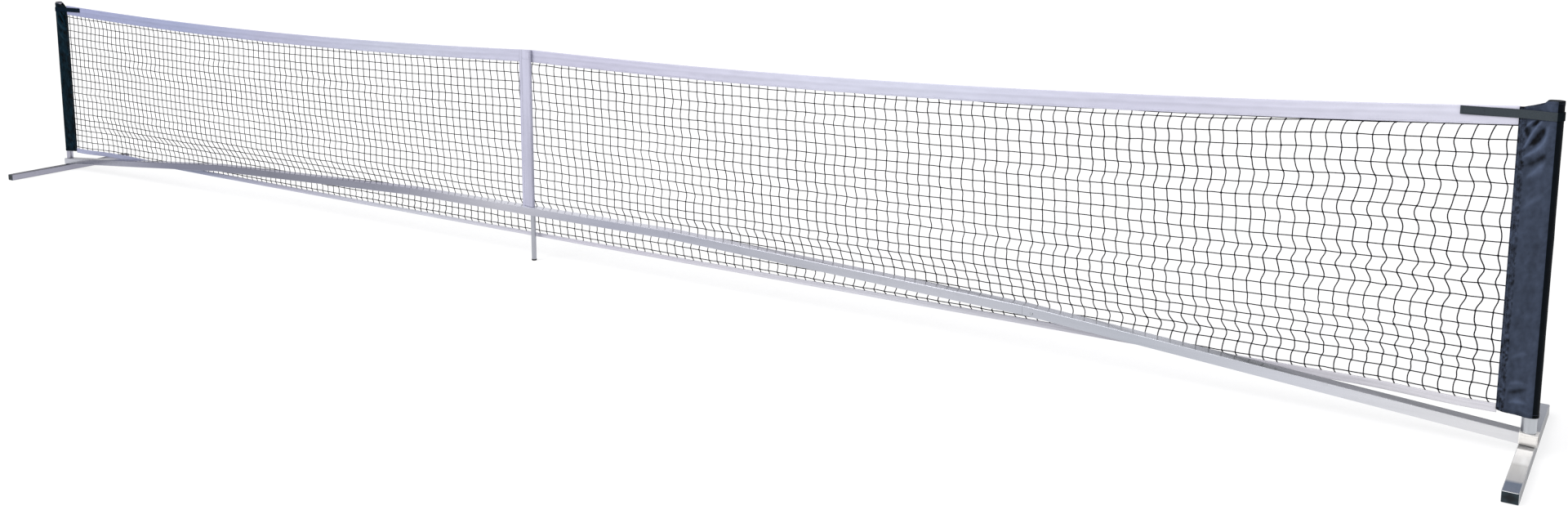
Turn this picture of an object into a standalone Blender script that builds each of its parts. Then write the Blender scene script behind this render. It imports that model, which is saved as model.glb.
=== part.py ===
"""Portable pickleball net system, at real size.

Metres, +Z up. X runs along the net, Y across it, and the origin is on the
floor under the centre leg. An arched base bar in five straight sections is
joined by bent couplers. Its ends sit on two feet, each with a round pin that
goes up through the bar's end into a post. The cord net hangs between the
posts in a folded top tape and bottom tape, with a sewn sleeve over a rod in
the middle, a sleeve round each post and a webbing strap at each top corner.
"""

from math import acos, atan2, cos, pi, sin, sqrt

import bmesh
import bpy
from mathutils import Matrix, Vector

# ---------------------------------------------------------------- dimensions
GAP = 0.0003                 # room between pieces that rest on each other

POST_X = 3.400               # post axis, from the middle
POST_R = 0.0175              # 35 mm tube
POST_WALL = 0.0015
POST_TOP = 0.936             # top of the plug
POST_CAP_H = 0.0042
POST_BOTTOM = 0.0653

PIN_R = 0.0155               # 31 mm pin inside the post
PIN_WALL = 0.0020
PIN_TOP = 0.165
PIN_HOLE_R = 0.0160

FOOT_W = 0.038
FOOT_H = 0.030
FOOT_WALL = 0.0015
FOOT_HALF = 0.365            # with its plugs
FOOT_PLUG_T = 0.0032

BEAM_D = 0.044               # across the net
BEAM_H = 0.031
BEAM_WALL = 0.0015
BEAM_END_X = 3.423
JOINT_OUT_X = 2.055
JOINT_IN_X = 0.690
BEAM_Z_END = 0.0305          # underside over the foot
BEAM_Z_OUT = 0.1420          # underside at the outer joint
BEAM_Z_IN = 0.1915           # underside at the inner joint and the middle
SEAM = 0.0005                # butt gap between two sections

COUPLER_WALL = 0.0012
COUPLER_HALF = 0.100         # reach each side of the joint

BUTTON_X = 2.085
BUTTON_UP = 0.0115           # above the bar's underside
BUTTON_R = 0.0045
BUTTON_OUT = 0.0025          # proud of the bar's face
BUTTON_HOLE_R = 0.0049

LEG_R = 0.010
LEG_BORE_R = 0.0068
ROD_R = 0.00635
ROD_TOP = 0.860
TIP_H = 0.0060

NET_HALF = 3.3245            # half length of the net and its tapes
TAPE_Z_END = 0.917           # top edge at the posts
TAPE_Z_MID = 0.866           # top edge at the middle
TAPE_SAG_LEFT = 0.033
TAPE_SAG_RIGHT = 0.037
TAPE_H = 0.049
TAPE_HALF_T = 0.0030
TAPE_WALL = 0.0012
HEM_Z_END = 0.101            # bottom tape's lower edge
HEM_Z_MID = 0.093
HEM_H_END = 0.024
HEM_H_MID = 0.0155
MESH_HALF_T = 0.0008
NET_Y_MID = 0.0120           # top of the net passes behind the centre rod
NET_Y_LOW = 0.0285           # foot of the net hangs behind the bar

SLEEVE_SEAM_X = 3.325        # side sleeve's net-side edge
SLEEVE_R = 0.0203
SLEEVE_BORE_R = 0.0187
SLEEVE_BOTTOM = 0.107

STRAP_X = 3.196
STRAP_W = 0.026
STRAP_T = 0.0018

COLOURS = {
    "aluminium": ((0.60, 0.61, 0.65), 0.32, 1.0),
    "spring_steel": ((0.50, 0.50, 0.50), 0.30, 1.0),
    "black_plastic": ((0.012, 0.014, 0.016), 0.45, 0.0),
    "rubber": ((0.020, 0.020, 0.020), 0.80, 0.0),
    "white_tape": ((0.62, 0.62, 0.74), 0.75, 0.0),
    "net_cord": ((0.012, 0.012, 0.014), 0.70, 0.0),
    "dark_nylon": ((0.030, 0.040, 0.060), 0.55, 0.0),
    "webbing": ((0.040, 0.045, 0.050), 0.75, 0.0),
}


# ------------------------------------------------------------------- helpers
def clear_scene():
    for obj in list(bpy.data.objects):
        bpy.data.objects.remove(obj, do_unlink=True)


def material(name, finish):
    colour, rough, metal = COLOURS[finish]
    mat = bpy.data.materials.new(name)
    mat.use_nodes = True
    shader = mat.node_tree.nodes["Principled BSDF"]
    shader.inputs["Base Color"].default_value = (*colour, 1.0)
    shader.inputs["Roughness"].default_value = rough
    shader.inputs["Metallic"].default_value = metal
    mat.diffuse_color = (*colour, 1.0)
    return mat


def place(name, bm, finish, at=(0.0, 0.0, 0.0), parent=None):
    """Turn a bmesh in world coordinates into an object with its origin at `at`."""
    bmesh.ops.remove_doubles(bm, verts=bm.verts, dist=1e-6)
    bmesh.ops.recalc_face_normals(bm, faces=bm.faces)
    bmesh.ops.translate(bm, verts=bm.verts, vec=-Vector(at))
    mesh = bpy.data.meshes.new(name)
    bm.to_mesh(mesh)
    bm.free()
    mesh.shade_smooth()
    mesh.set_sharp_from_angle(angle=0.6)
    mesh.materials.append(material(name, finish))
    obj = bpy.data.objects.new(name, mesh)
    obj.location = at
    bpy.context.scene.collection.objects.link(obj)
    if parent is not None:
        obj.parent = parent
        obj.location = Vector(at) - parent.location
    return obj


def pivot(name, at):
    """An empty on a joint axis, which carries the pieces that turn or slide together."""
    empty = bpy.data.objects.new(name, None)
    empty.location = at
    bpy.context.scene.collection.objects.link(empty)
    return empty


def ring(bm, points):
    return [bm.verts.new(p) for p in points]


def skin(bm, a, b):
    n = len(a)
    for i in range(n):
        j = (i + 1) % n
        bm.faces.new((a[i], a[j], b[j], b[i]))


def solid_loft(rings):
    """One closed body through rings of equal length, capped at both ends."""
    bm = bmesh.new()
    made = [ring(bm, pts) for pts in rings]
    for a, b in zip(made, made[1:]):
        skin(bm, a, b)
    bm.faces.new(made[0])
    bm.faces.new(made[-1])
    return bm


def tube_loft(outer, inner):
    """A through tube: outer and inner rings of equal length at each station."""
    bm = bmesh.new()
    out = [ring(bm, pts) for pts in outer]
    inn = [ring(bm, pts) for pts in inner]
    for a, b in zip(out, out[1:]):
        skin(bm, a, b)
    for a, b in zip(inn, inn[1:]):
        skin(bm, a, b)
    skin(bm, out[0], inn[0])
    skin(bm, out[-1], inn[-1])
    return bm


def turned(profile, axis_at, segments=32, axis="Z"):
    """Spin a closed (radius, height) profile about an axis through axis_at."""
    bm = bmesh.new()
    rows = []
    for k in range(segments):
        t = 2 * pi * k / segments
        row = []
        for r, h in profile:
            if axis == "Z":
                row.append((axis_at[0] + r * cos(t), axis_at[1] + r * sin(t), h))
            else:
                row.append((axis_at[0] + r * cos(t), h, axis_at[2] + r * sin(t)))
        rows.append(ring(bm, row))
    n = len(profile)
    for k in range(segments):
        a, b = rows[k], rows[(k + 1) % segments]
        for i in range(n):
            j = (i + 1) % n
            if profile[i][0] == 0 and profile[j][0] == 0:
                continue
            bm.faces.new((a[i], a[j], b[j], b[i]))
    bmesh.ops.remove_doubles(bm, verts=bm.verts, dist=1e-6)
    bmesh.ops.dissolve_degenerate(bm, edges=bm.edges, dist=1e-7)
    return bm


def round_cutter(name, radius, start, end, segments=32):
    """A hidden cylinder between two points, for a hole."""
    start, end = Vector(start), Vector(end)
    bm = bmesh.new()
    span = end - start
    turn = span.to_track_quat("Z", "Y").to_matrix().to_4x4()
    where = Matrix.Translation((start + end) / 2) @ turn
    bmesh.ops.create_cone(bm, cap_ends=True, segments=segments, radius1=radius,
                          radius2=radius, depth=span.length, matrix=where)
    mesh = bpy.data.meshes.new(name)
    bm.to_mesh(mesh)
    bm.free()
    obj = bpy.data.objects.new(name, mesh)
    obj.hide_render = True
    obj.display_type = "WIRE"
    bpy.context.scene.collection.objects.link(obj)
    return obj


def drill(obj, cutter):
    mod = obj.modifiers.new("drill_" + cutter.name, "BOOLEAN")
    mod.operation = "DIFFERENCE"
    mod.object = cutter
    mod.solver = "EXACT"


def rect(half_a, low, high, chamfer):
    """An eight-sided rectangle outline as (a, height) pairs."""
    c = chamfer
    return [(-half_a + c, low), (half_a - c, low), (half_a, low + c), (half_a, high - c),
            (half_a - c, high), (-half_a + c, high), (-half_a, high - c), (-half_a, low + c)]


def smooth(t):
    t = min(max(t, 0.0), 1.0)
    return t * t * (3 - 2 * t)


# --------------------------------------------------------------- base bar
SLOPE_END = (BEAM_Z_OUT - BEAM_Z_END) / (BEAM_END_X - JOINT_OUT_X)
SLOPE_MID = (BEAM_Z_IN - BEAM_Z_OUT) / (JOINT_OUT_X - JOINT_IN_X)


def bar_under(x):
    """Underside of the base bar at x."""
    a = abs(x)
    if a >= JOINT_OUT_X:
        return BEAM_Z_OUT - (a - JOINT_OUT_X) * SLOPE_END
    if a >= JOINT_IN_X:
        return BEAM_Z_IN - (a - JOINT_IN_X) * SLOPE_MID
    return BEAM_Z_IN


def bar_section(name, x0, x1, slope):
    grow = sqrt(1 + slope * slope)      # a vertical cut through a sloping tube is taller
    outer, inner = [], []
    for x in (x0, x1):
        low = bar_under(x)
        high = low + BEAM_H * grow
        wall = BEAM_WALL * grow
        outer.append([(x, a, h) for a, h in rect(BEAM_D / 2, low, high, 0.0016)])
        inner.append([(x, a, h) for a, h in
                      rect(BEAM_D / 2 - BEAM_WALL, low + wall, high - wall, 0.0004)])
    return place(name, tube_loft(outer, inner), "aluminium")


def coupler(name, x_joint, slope_in, slope_out):
    side = 1 if x_joint > 0 else -1
    a = abs(x_joint)
    outer, inner = [], []
    for off, slope in ((-COUPLER_HALF, slope_in), (0.0, (slope_in + slope_out) / 2),
                       (COUPLER_HALF, slope_out)):
        grow = sqrt(1 + slope * slope)
        x = side * (a + off)
        low = bar_under(x) + (BEAM_WALL + GAP) * grow
        high = bar_under(x) + (BEAM_H - BEAM_WALL - GAP) * grow
        wall = COUPLER_WALL * grow
        half = BEAM_D / 2 - BEAM_WALL - GAP
        outer.append([(x, p, h) for p, h in rect(half, low, high, 0.0010)])
        inner.append([(x, p, h) for p, h in
                      rect(half - COUPLER_WALL, low + wall, high - wall, 0.0004)])
    return place(name, tube_loft(outer, inner), "aluminium")


def build_bar():
    s = SEAM / 2
    centre = bar_section("beam_center", -JOINT_IN_X + s, JOINT_IN_X - s, 0.0)
    for word, side in (("left", -1), ("right", 1)):
        bar_section("beam_mid_" + word, side * (JOINT_IN_X + s), side * (JOINT_OUT_X - s),
                    SLOPE_MID)
        end = bar_section("beam_end_" + word, side * (JOINT_OUT_X + s), side * BEAM_END_X,
                          SLOPE_END)
        drill(end, round_cutter("pin_hole_" + word, PIN_HOLE_R,
                                (side * POST_X, 0, 0.0), (side * POST_X, 0, 0.12)))
        coupler("coupler_inner_" + word, side * JOINT_IN_X, 0.0, SLOPE_MID)
        outer = coupler("coupler_outer_" + word, side * JOINT_OUT_X, SLOPE_MID, SLOPE_END)

        # the button is at the front on the right and at the rear on the left,
        # because both end sections are the same part turned round
        face = -side
        z = bar_under(BUTTON_X) + BUTTON_UP
        x = side * BUTTON_X
        hole = round_cutter("button_hole_" + word, BUTTON_HOLE_R,
                            (x, 0, z), (x, face * 0.030, z), 24)
        drill(end, hole)
        drill(outer, hole)
        build_button(word, side, face, x, z)
    top = BEAM_Z_IN + BEAM_H
    drill(centre, round_cutter("rod_hole", 0.0067, (0, 0, top - 0.010), (0, 0, top + 0.010), 24))
    drill(centre, round_cutter("leg_hole", 0.0104, (0, 0, BEAM_Z_IN - 0.010),
                               (0, 0, BEAM_Z_IN + 0.010), 24))


def build_button(word, side, face, x, z):
    """A domed button with a flange inside the coupler, on a bent leaf spring."""
    inside = BEAM_D / 2 - BEAM_WALL - GAP - COUPLER_WALL      # coupler's inner wall
    tip = BEAM_D / 2 + BUTTON_OUT
    flange = inside - GAP
    back = flange - 0.0012
    profile = [(0.0, back), (0.0065, back), (0.0065, flange), (BUTTON_R, flange),
               (BUTTON_R, tip - 0.0013), (BUTTON_R * 0.80, tip - 0.0004),
               (BUTTON_R * 0.45, tip), (0.0, tip)]
    profile = [(r, face * h) for r, h in profile]
    travel = pivot("snap_button_%s_travel" % word, (x, face * BEAM_D / 2, z))
    place("snap_button_" + word, turned(profile, (x, 0, z), 24, "Y"), "aluminium",
          (x, face * BEAM_D / 2, z), travel)

    # the leaf runs from behind the button towards the middle and folds back
    y = back - GAP
    toward = -side
    path = [(0.008, y), (-0.028, y), (-0.0335, y - 0.004), (-0.0350, y - 0.009),
            (-0.0350, -0.0055), (-0.0335, -0.0100), (-0.028, -0.0134), (-0.004, -0.0134)]
    # path is (distance from the button away from the middle, height towards the face)
    thick = 0.0008
    left_pts, right_pts = [], []
    for i, (px, py) in enumerate(path):
        qx, qy = path[min(i + 1, len(path) - 1)]
        rx, ry = path[max(i - 1, 0)]
        dx, dy = qx - rx, qy - ry
        n = sqrt(dx * dx + dy * dy)
        nx, ny = -dy / n, dx / n
        left_pts.append((px, py))
        right_pts.append((px + nx * thick, py + ny * thick))
    outline = left_pts + right_pts[::-1]
    low = [(x - toward * px, face * py, z - 0.0042) for px, py in outline]
    high = [(x - toward * px, face * py, z + 0.0042) for px, py in outline]
    place("snap_spring_" + word, solid_loft([low, high]), "spring_steel",
          (x, face * BEAM_D / 2, z), travel)


# ------------------------------------------------------------ feet and posts
def build_foot(word, side):
    x = side * POST_X
    swivel = pivot("foot_%s_swivel" % word, (x, 0, 0))
    end = FOOT_HALF - FOOT_PLUG_T - GAP
    outer, inner = [], []
    for y in (-end, end):
        outer.append([(x + a, y, h) for a, h in rect(FOOT_W / 2, 0.0, FOOT_H, 0.0016)])
        inner.append([(x + a, y, h) for a, h in
                      rect(FOOT_W / 2 - FOOT_WALL, FOOT_WALL, FOOT_H - FOOT_WALL, 0.0004)])
    place("foot_" + word, tube_loft(outer, inner), "aluminium", (x, 0, 0), swivel)

    for where, d in (("front", -1), ("rear", 1)):
        def section(half, low, high, chamfer, y):
            return [(x + a, y, h) for a, h in rect(half, low, high, chamfer)]
        plug_half = FOOT_W / 2 - FOOT_WALL - GAP
        low, high = FOOT_WALL + GAP, FOOT_H - FOOT_WALL - GAP
        rings = [
            section(plug_half - 0.001, low + 0.001, high - 0.001, 0.0006, d * (end - 0.018)),
            section(plug_half, low, high, 0.0008, d * (end - 0.016)),
            section(plug_half, low, high, 0.0008, d * (end + GAP)),
            section(FOOT_W / 2 - 0.0002, 0.0002, FOOT_H - 0.0002, 0.0018, d * (end + GAP)),
            section(FOOT_W / 2 - 0.0002, 0.0002, FOOT_H - 0.0002, 0.0018, d * (FOOT_HALF - 0.0010)),
            section(FOOT_W / 2 - 0.0014, 0.0014, FOOT_H - 0.0014, 0.0018, d * FOOT_HALF),
        ]
        place("foot_plug_%s_%s" % (word, where), solid_loft(rings), "black_plastic",
              (x, 0, 0), swivel)

    low = FOOT_H + GAP
    profile = [(PIN_R - PIN_WALL, low), (PIN_R, low), (PIN_R, PIN_TOP - 0.0020),
               (PIN_R - 0.0008, PIN_TOP), (PIN_R - PIN_WALL, PIN_TOP)]
    place("foot_pin_" + word, turned(profile, (x, 0, 0)), "aluminium", (x, 0, 0), swivel)


def build_post(word, side):
    x = side * POST_X
    lift = pivot("post_%s_lift" % word, (x, 0, POST_BOTTOM))
    top = POST_TOP - POST_CAP_H - GAP
    profile = [(POST_R - POST_WALL, POST_BOTTOM), (POST_R, POST_BOTTOM), (POST_R, top),
               (POST_R - POST_WALL, top)]
    place("post_" + word, turned(profile, (x, 0, 0)), "aluminium", (x, 0, POST_BOTTOM), lift)
    bore = POST_R - POST_WALL - GAP
    seat = top + GAP
    profile = [(0.0, top - 0.020), (bore - 0.0008, top - 0.020), (bore, top - 0.018),
               (bore, seat), (POST_R - 0.0003, seat), (POST_R - 0.0003, POST_TOP - 0.0015),
               (POST_R - 0.0016, POST_TOP - 0.0003), (POST_R - 0.0040, POST_TOP),
               (0.0, POST_TOP)]
    place("post_cap_" + word, turned(profile, (x, 0, 0)), "black_plastic",
          (x, 0, POST_BOTTOM), lift)


# -------------------------------------------------------- centre leg and rod
def build_centre():
    pull = pivot("center_leg_pull", (0, 0, 0))
    top = BEAM_Z_IN + BEAM_H - BEAM_WALL - GAP
    low = TIP_H + GAP
    profile = [(LEG_BORE_R, low), (LEG_R, low), (LEG_R, top), (LEG_BORE_R, top)]
    place("center_leg", turned(profile, (0, 0, 0), 28), "aluminium", (0, 0, 0), pull)
    r = LEG_R + 0.0006
    plug = LEG_BORE_R - GAP
    profile = [(0.0, 0.0), (r - 0.0010, 0.0), (r, 0.0010), (r, TIP_H),
               (plug, TIP_H), (plug, 0.017), (plug - 0.0008, 0.018), (0.0, 0.018)]
    place("center_leg_tip", turned(profile, (0, 0, 0), 28), "rubber", (0, 0, 0), pull)
    profile = [(0.0, 0.018 + GAP), (ROD_R, 0.018 + GAP), (ROD_R, ROD_TOP - 0.0015),
               (ROD_R - 0.0015, ROD_TOP), (0.0, ROD_TOP)]
    place("center_rod", turned(profile, (0, 0, 0), 24), "aluminium")


# ----------------------------------------------------------------- the net
def tape_top(x):
    t = abs(x) / NET_HALF
    sag = TAPE_SAG_RIGHT if x > 0 else TAPE_SAG_LEFT
    return TAPE_Z_MID + (TAPE_Z_END - TAPE_Z_MID) * t - 4 * sag * t * (1 - t)


def hem_low(x):
    t = abs(x) / NET_HALF
    return HEM_Z_MID + (HEM_Z_END - HEM_Z_MID) * t * t


def hem_high(x):
    t = abs(x) / NET_HALF
    return hem_low(x) + HEM_H_MID + (HEM_H_END - HEM_H_MID) * t


def net_y(x, z):
    """How far the net stands behind the line between the posts."""
    a = abs(x)
    low = NET_Y_LOW * smooth((3.28 - a) / 0.28)
    high = NET_Y_MID * (1 - a / NET_HALF)
    z0, z1 = hem_low(x), tape_top(x)
    k = min(max((z - z0) / (z1 - z0), 0.0), 1.0)
    return low + (high - low) * k


def stations():
    count = 66
    return [-NET_HALF + 2 * NET_HALF * i / count for i in range(count + 1)]


def fold(x, top, bottom):
    """A folded tape's cross-section: a channel that is open towards `bottom`."""
    t, w = TAPE_HALF_T, TAPE_WALL
    d = 1 if top > bottom else -1
    pts = [(-t, bottom), (-t, top - d * 0.0012), (-t + 0.0012, top), (t - 0.0012, top),
           (t, top - d * 0.0012), (t, bottom), (t - w, bottom), (t - w, top - d * w),
           (-t + w, top - d * w), (-t + w, bottom)]
    return [(x, net_y(x, z) + a, z) for a, z in pts]


def build_net():
    xs = stations()
    place("top_tape", solid_loft([fold(x, tape_top(x), tape_top(x) - TAPE_H) for x in xs]),
          "white_tape")
    place("bottom_tape", solid_loft([fold(x, hem_low(x), hem_high(x)) for x in xs]),
          "white_tape")
    rings = []
    for x in xs:
        low = hem_low(x) + TAPE_WALL + 0.0012
        high = tape_top(x) - TAPE_WALL - 0.0012
        levels = [low + (high - low) * i / 7 for i in range(8)]
        front = [(x, net_y(x, z) - MESH_HALF_T, z) for z in levels]
        rear = [(x, net_y(x, z) + MESH_HALF_T, z) for z in reversed(levels)]
        rings.append(front + rear)
    place("net_mesh", solid_loft(rings), "net_cord")


def build_centre_sleeve():
    r = 0.0082
    low, high = BEAM_Z_IN + BEAM_H + 0.0004, 0.8655
    px, py = -0.038, 0.0013
    far = -px
    tangent = acos(r / sqrt(far * far + py * py))
    outline = [(-0.0535, 0.0010), (px, py)]
    steps = 18
    start = pi - tangent
    for i in range(steps + 1):
        t = start - 2 * start * i / steps
        outline.append((r * cos(t), r * sin(t)))
    outline += [(px, -py), (-0.0535, -0.0010)]
    rings = [[(a, b, z) for a, b in outline] for z in (low, high)]
    sleeve = place("center_sleeve", solid_loft(rings), "white_tape")
    drill(sleeve, round_cutter("rod_pocket", 0.0068, (0, 0, low - 0.02),
                               (0, 0, ROD_TOP + 0.0006), 24))


def teardrop(flange_x, flange_half, radius, steps):
    """Outline round a post at the origin, drawn out to a thin flange towards -a."""
    d = sqrt(flange_x * flange_x + flange_half * flange_half)
    tangent = acos(radius / d)
    lean = atan2(flange_half, -flange_x)
    start = pi - lean - tangent
    pts = [(flange_x, flange_half)]
    for i in range(steps + 1):
        t = start - 2 * start * i / steps
        pts.append((radius * cos(t), radius * sin(t)))
    pts.append((flange_x, -flange_half))
    return pts


def build_side_sleeve(word, side, top_post, top_seam):
    outline = teardrop(-(POST_X - SLEEVE_SEAM_X), 0.0015, SLEEVE_R, 26)

    def top(a):
        k = smooth((a + 0.055) / 0.035)
        return top_seam + (top_post - top_seam) * k

    low = [(side * (POST_X + a), b, SLEEVE_BOTTOM) for a, b in outline]
    high = [(side * (POST_X + a), b, top(a)) for a, b in outline]
    sleeve = place("side_sleeve_" + word, solid_loft([low, high]), "dark_nylon")
    drill(sleeve, round_cutter("post_pocket_" + word, SLEEVE_BORE_R,
                               (side * POST_X, 0, 0.05), (side * POST_X, 0, 1.0)))


def build_strap(word, side, z0):
    """A webbing loop: along both faces of the tape and round the sleeved post."""
    run = POST_X - STRAP_X
    half = 0.0042

    def path(offset):
        r = SLEEVE_R + 0.0005 + offset
        y = half + offset
        d = sqrt(0.070 ** 2 + y * y)
        start = pi - atan2(y, 0.070) - acos(r / d)
        pts = [(-run, y), (-0.070, y)]
        for i in range(21):
            t = start - 2 * start * i / 20
            pts.append((r * cos(t), r * sin(t)))
        return pts + [(-0.070, -y), (-run, -y)]

    outline = path(STRAP_T) + path(0.0)[::-1]
    rings = [[(side * (POST_X + a), b, z) for a, b in outline] for z in (z0, z0 + STRAP_W)]
    place("strap_" + word, solid_loft(rings), "webbing")


def main():
    clear_scene()
    build_bar()
    build_centre()
    for word, side in (("left", -1), ("right", 1)):
        build_foot(word, side)
        build_post(word, side)
    build_net()
    build_centre_sleeve()
    build_side_sleeve("left", -1, 0.9200, 0.9150)
    build_side_sleeve("right", 1, 0.9345, 0.9160)
    build_strap("left", -1, 0.8840)
    build_strap("right", 1, 0.8860)


main()
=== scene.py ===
import bpy
import math
import numpy as np
from mathutils import Matrix, Vector


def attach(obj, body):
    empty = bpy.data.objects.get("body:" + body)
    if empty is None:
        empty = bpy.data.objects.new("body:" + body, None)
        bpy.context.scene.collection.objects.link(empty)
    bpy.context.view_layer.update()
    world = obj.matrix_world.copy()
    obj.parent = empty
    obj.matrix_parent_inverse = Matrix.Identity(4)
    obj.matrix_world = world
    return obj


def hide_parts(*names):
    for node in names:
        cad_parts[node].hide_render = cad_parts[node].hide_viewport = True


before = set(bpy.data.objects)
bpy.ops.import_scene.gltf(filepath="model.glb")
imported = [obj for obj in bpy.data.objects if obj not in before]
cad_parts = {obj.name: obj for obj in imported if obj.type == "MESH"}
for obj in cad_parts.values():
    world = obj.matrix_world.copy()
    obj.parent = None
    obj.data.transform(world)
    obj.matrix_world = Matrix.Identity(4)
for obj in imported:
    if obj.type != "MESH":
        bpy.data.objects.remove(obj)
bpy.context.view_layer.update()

# ---------------------------------------------------------------- camera
# The picture is taken to be 1920 x 624.
F_PX, WIDE = 1740.2, 1920.0
YAW, PITCH, ROLL = 0.6818, 0.1497, -0.0204
cam_data = bpy.data.cameras.new("camera")
cam_data.sensor_width = 36.0
cam_data.lens = 36.0 * F_PX / WIDE
cam_data.shift_x = (960.0 - 700.0) / WIDE
cam_data.shift_y = (118.0 - 312.0) / WIDE
cam_data.clip_start, cam_data.clip_end = 0.05, 200.0
cam = bpy.data.objects.new("camera", cam_data)
bpy.context.scene.collection.objects.link(cam)
ahead = Vector((-math.sin(YAW) * math.cos(PITCH), math.cos(YAW) * math.cos(PITCH), -math.sin(PITCH)))
side = Vector((math.cos(YAW), math.sin(YAW), 0.0))
up = side.cross(ahead)
side_r = side * math.cos(ROLL) + up * math.sin(ROLL)
up_r = up * math.cos(ROLL) - side * math.sin(ROLL)
turn = Matrix((side_r, up_r, -ahead)).transposed().to_4x4()
cam.matrix_world = Matrix.Translation((3.6993, -4.2929, 1.5291)) @ turn
bpy.context.scene.camera = cam
bpy.context.scene.view_settings.view_transform = "Standard"

# ---------------------------------------------------------------- sizes, as in the CAD
POST_X, POST_R = 3.400, 0.0175
HALF = 3.3245            # half the net's length between the side sleeves' seams
TAPE_H = 0.049           # height of the top tape
BAR_T = 0.031            # height of the base bar


def clamp01(t):
    return np.clip(t, 0.0, 1.0)


def smooth(t):
    t = clamp01(t)
    return t * t * (3.0 - 2.0 * t)


def tape_top(x):
    x = np.asarray(x, float)
    t = np.abs(x) / HALF
    sag = np.where(x > 0, 0.037, 0.033)
    return 0.866 + 0.051 * t - 4.0 * sag * t * (1.0 - t)


def hem_low(x):
    return 0.093 + 0.008 * (np.abs(x) / HALF) ** 2


def hem_high(x):
    return hem_low(x) + 0.0155 + 0.0085 * np.abs(x) / HALF


def net_y(x, z):
    x, z = np.asarray(x, float), np.asarray(z, float)
    low = 0.0285 * smooth((3.28 - np.abs(x)) / 0.28)
    high = 0.012 * (1.0 - np.abs(x) / HALF)
    k = clamp01((z - hem_low(x)) / (tape_top(x) - hem_low(x)))
    return low + (high - low) * k


# ---------------------------------------------------------------- noise, the same each run
_tables = {}


def _table(seed):
    if seed not in _tables:
        _tables[seed] = np.random.RandomState(seed).rand(256, 256) * 2.0 - 1.0
    return _tables[seed]


def noise(u, v, seed=1):
    """Smooth noise from -1 to 1 with features one unit wide."""
    u, v = np.broadcast_arrays(np.asarray(u, float), np.asarray(v, float))
    t = _table(seed)
    i, j = np.floor(u).astype(int), np.floor(v).astype(int)
    a, b = u - i, v - j
    a, b = a * a * (3 - 2 * a), b * b * (3 - 2 * b)
    i0, i1, j0, j1 = i % 256, (i + 1) % 256, j % 256, (j + 1) % 256
    return (t[i0, j0] * (1 - a) + t[i1, j0] * a) * (1 - b) + (t[i0, j1] * (1 - a) + t[i1, j1] * a) * b


def fractal(u, v, seed=1, octaves=3):
    out, amp, total = 0.0, 1.0, 0.0
    for k in range(octaves):
        out = out + amp * noise(np.asarray(u) * 2 ** k + 17.3 * k, np.asarray(v) * 2 ** k + 9.1 * k, seed + k)
        total += amp
        amp *= 0.5
    return out / total


# ---------------------------------------------------------------- mesh helpers
def add_mesh(name, verts, faces, material, body="net_frame", slot=None, flat_shaded=False, shade=None):
    """verts is (n, 3); faces is a list of index arrays, each (m, 3), (m, 4) or (m, k)."""
    me = bpy.data.meshes.new(name)
    verts = np.ascontiguousarray(np.asarray(verts, np.float32).reshape(-1, 3))
    faces = [np.asarray(f, np.int32) for f in faces if len(f)]
    me.vertices.add(len(verts))
    me.vertices.foreach_set("co", verts.ravel())
    loops = np.concatenate([f.ravel() for f in faces])
    counts = np.concatenate([np.full(len(f), f.shape[1], np.int32) for f in faces])
    starts = np.concatenate([[0], np.cumsum(counts)[:-1]]).astype(np.int32)
    me.loops.add(len(loops))
    me.loops.foreach_set("vertex_index", loops)
    me.polygons.add(len(counts))
    me.polygons.foreach_set("loop_start", starts)
    me.update(calc_edges=True)
    me.validate()
    if not flat_shaded:
        me.shade_smooth()
    me.materials.append(material)
    if shade is not None:
        me.attributes.new("shade", "FLOAT", "POINT").data.foreach_set("value", np.ascontiguousarray(shade, np.float32).ravel())
    ob = bpy.data.objects.new(name, me)
    bpy.context.scene.collection.objects.link(ob)
    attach(ob, body)
    return ob


class Soup:
    """Several shapes gathered into one mesh."""

    def __init__(self):
        self.verts, self.faces, self.count = [], [], 0

    def add(self, verts, faces):
        verts = np.asarray(verts, float).reshape(-1, 3)
        self.verts.append(verts)
        self.faces += [np.asarray(f) + self.count for f in faces if len(f)]
        self.count += len(verts)

    def mesh(self, name, material, **more):
        return add_mesh(name, np.concatenate(self.verts), self.faces, material, **more)


def tubes(lines, radius, sides=6, ref=(0.0, 1.0, 0.0)):
    """Closed round tubes along lines (m, n, 3)."""
    p = np.asarray(lines, float)
    m, n = p.shape[:2]
    r = np.broadcast_to(np.asarray(radius, float), (m, n)) if np.ndim(radius) else np.full((m, n), float(radius))
    t = np.gradient(p, axis=1)
    t /= np.maximum(np.linalg.norm(t, axis=2, keepdims=True), 1e-12)
    ref = np.asarray(ref, float)
    a = ref - (t @ ref)[..., None] * t
    a /= np.maximum(np.linalg.norm(a, axis=2, keepdims=True), 1e-12)
    b = np.cross(t, a)
    ang = np.arange(sides) * 2.0 * math.pi / sides
    c, s = np.cos(ang)[None, None, :, None], np.sin(ang)[None, None, :, None]
    v = p[:, :, None, :] + r[:, :, None, None] * (c * a[:, :, None, :] + s * b[:, :, None, :])
    idx = np.arange(m * n * sides).reshape(m, n, sides)
    nxt = np.roll(idx, -1, axis=2)
    quads = np.stack([idx[:, :-1], nxt[:, :-1], nxt[:, 1:], idx[:, 1:]], axis=-1).reshape(-1, 4)
    return v.reshape(-1, 3), [quads, idx[:, 0, ::-1].reshape(-1, sides), idx[:, -1].reshape(-1, sides)]


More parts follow.
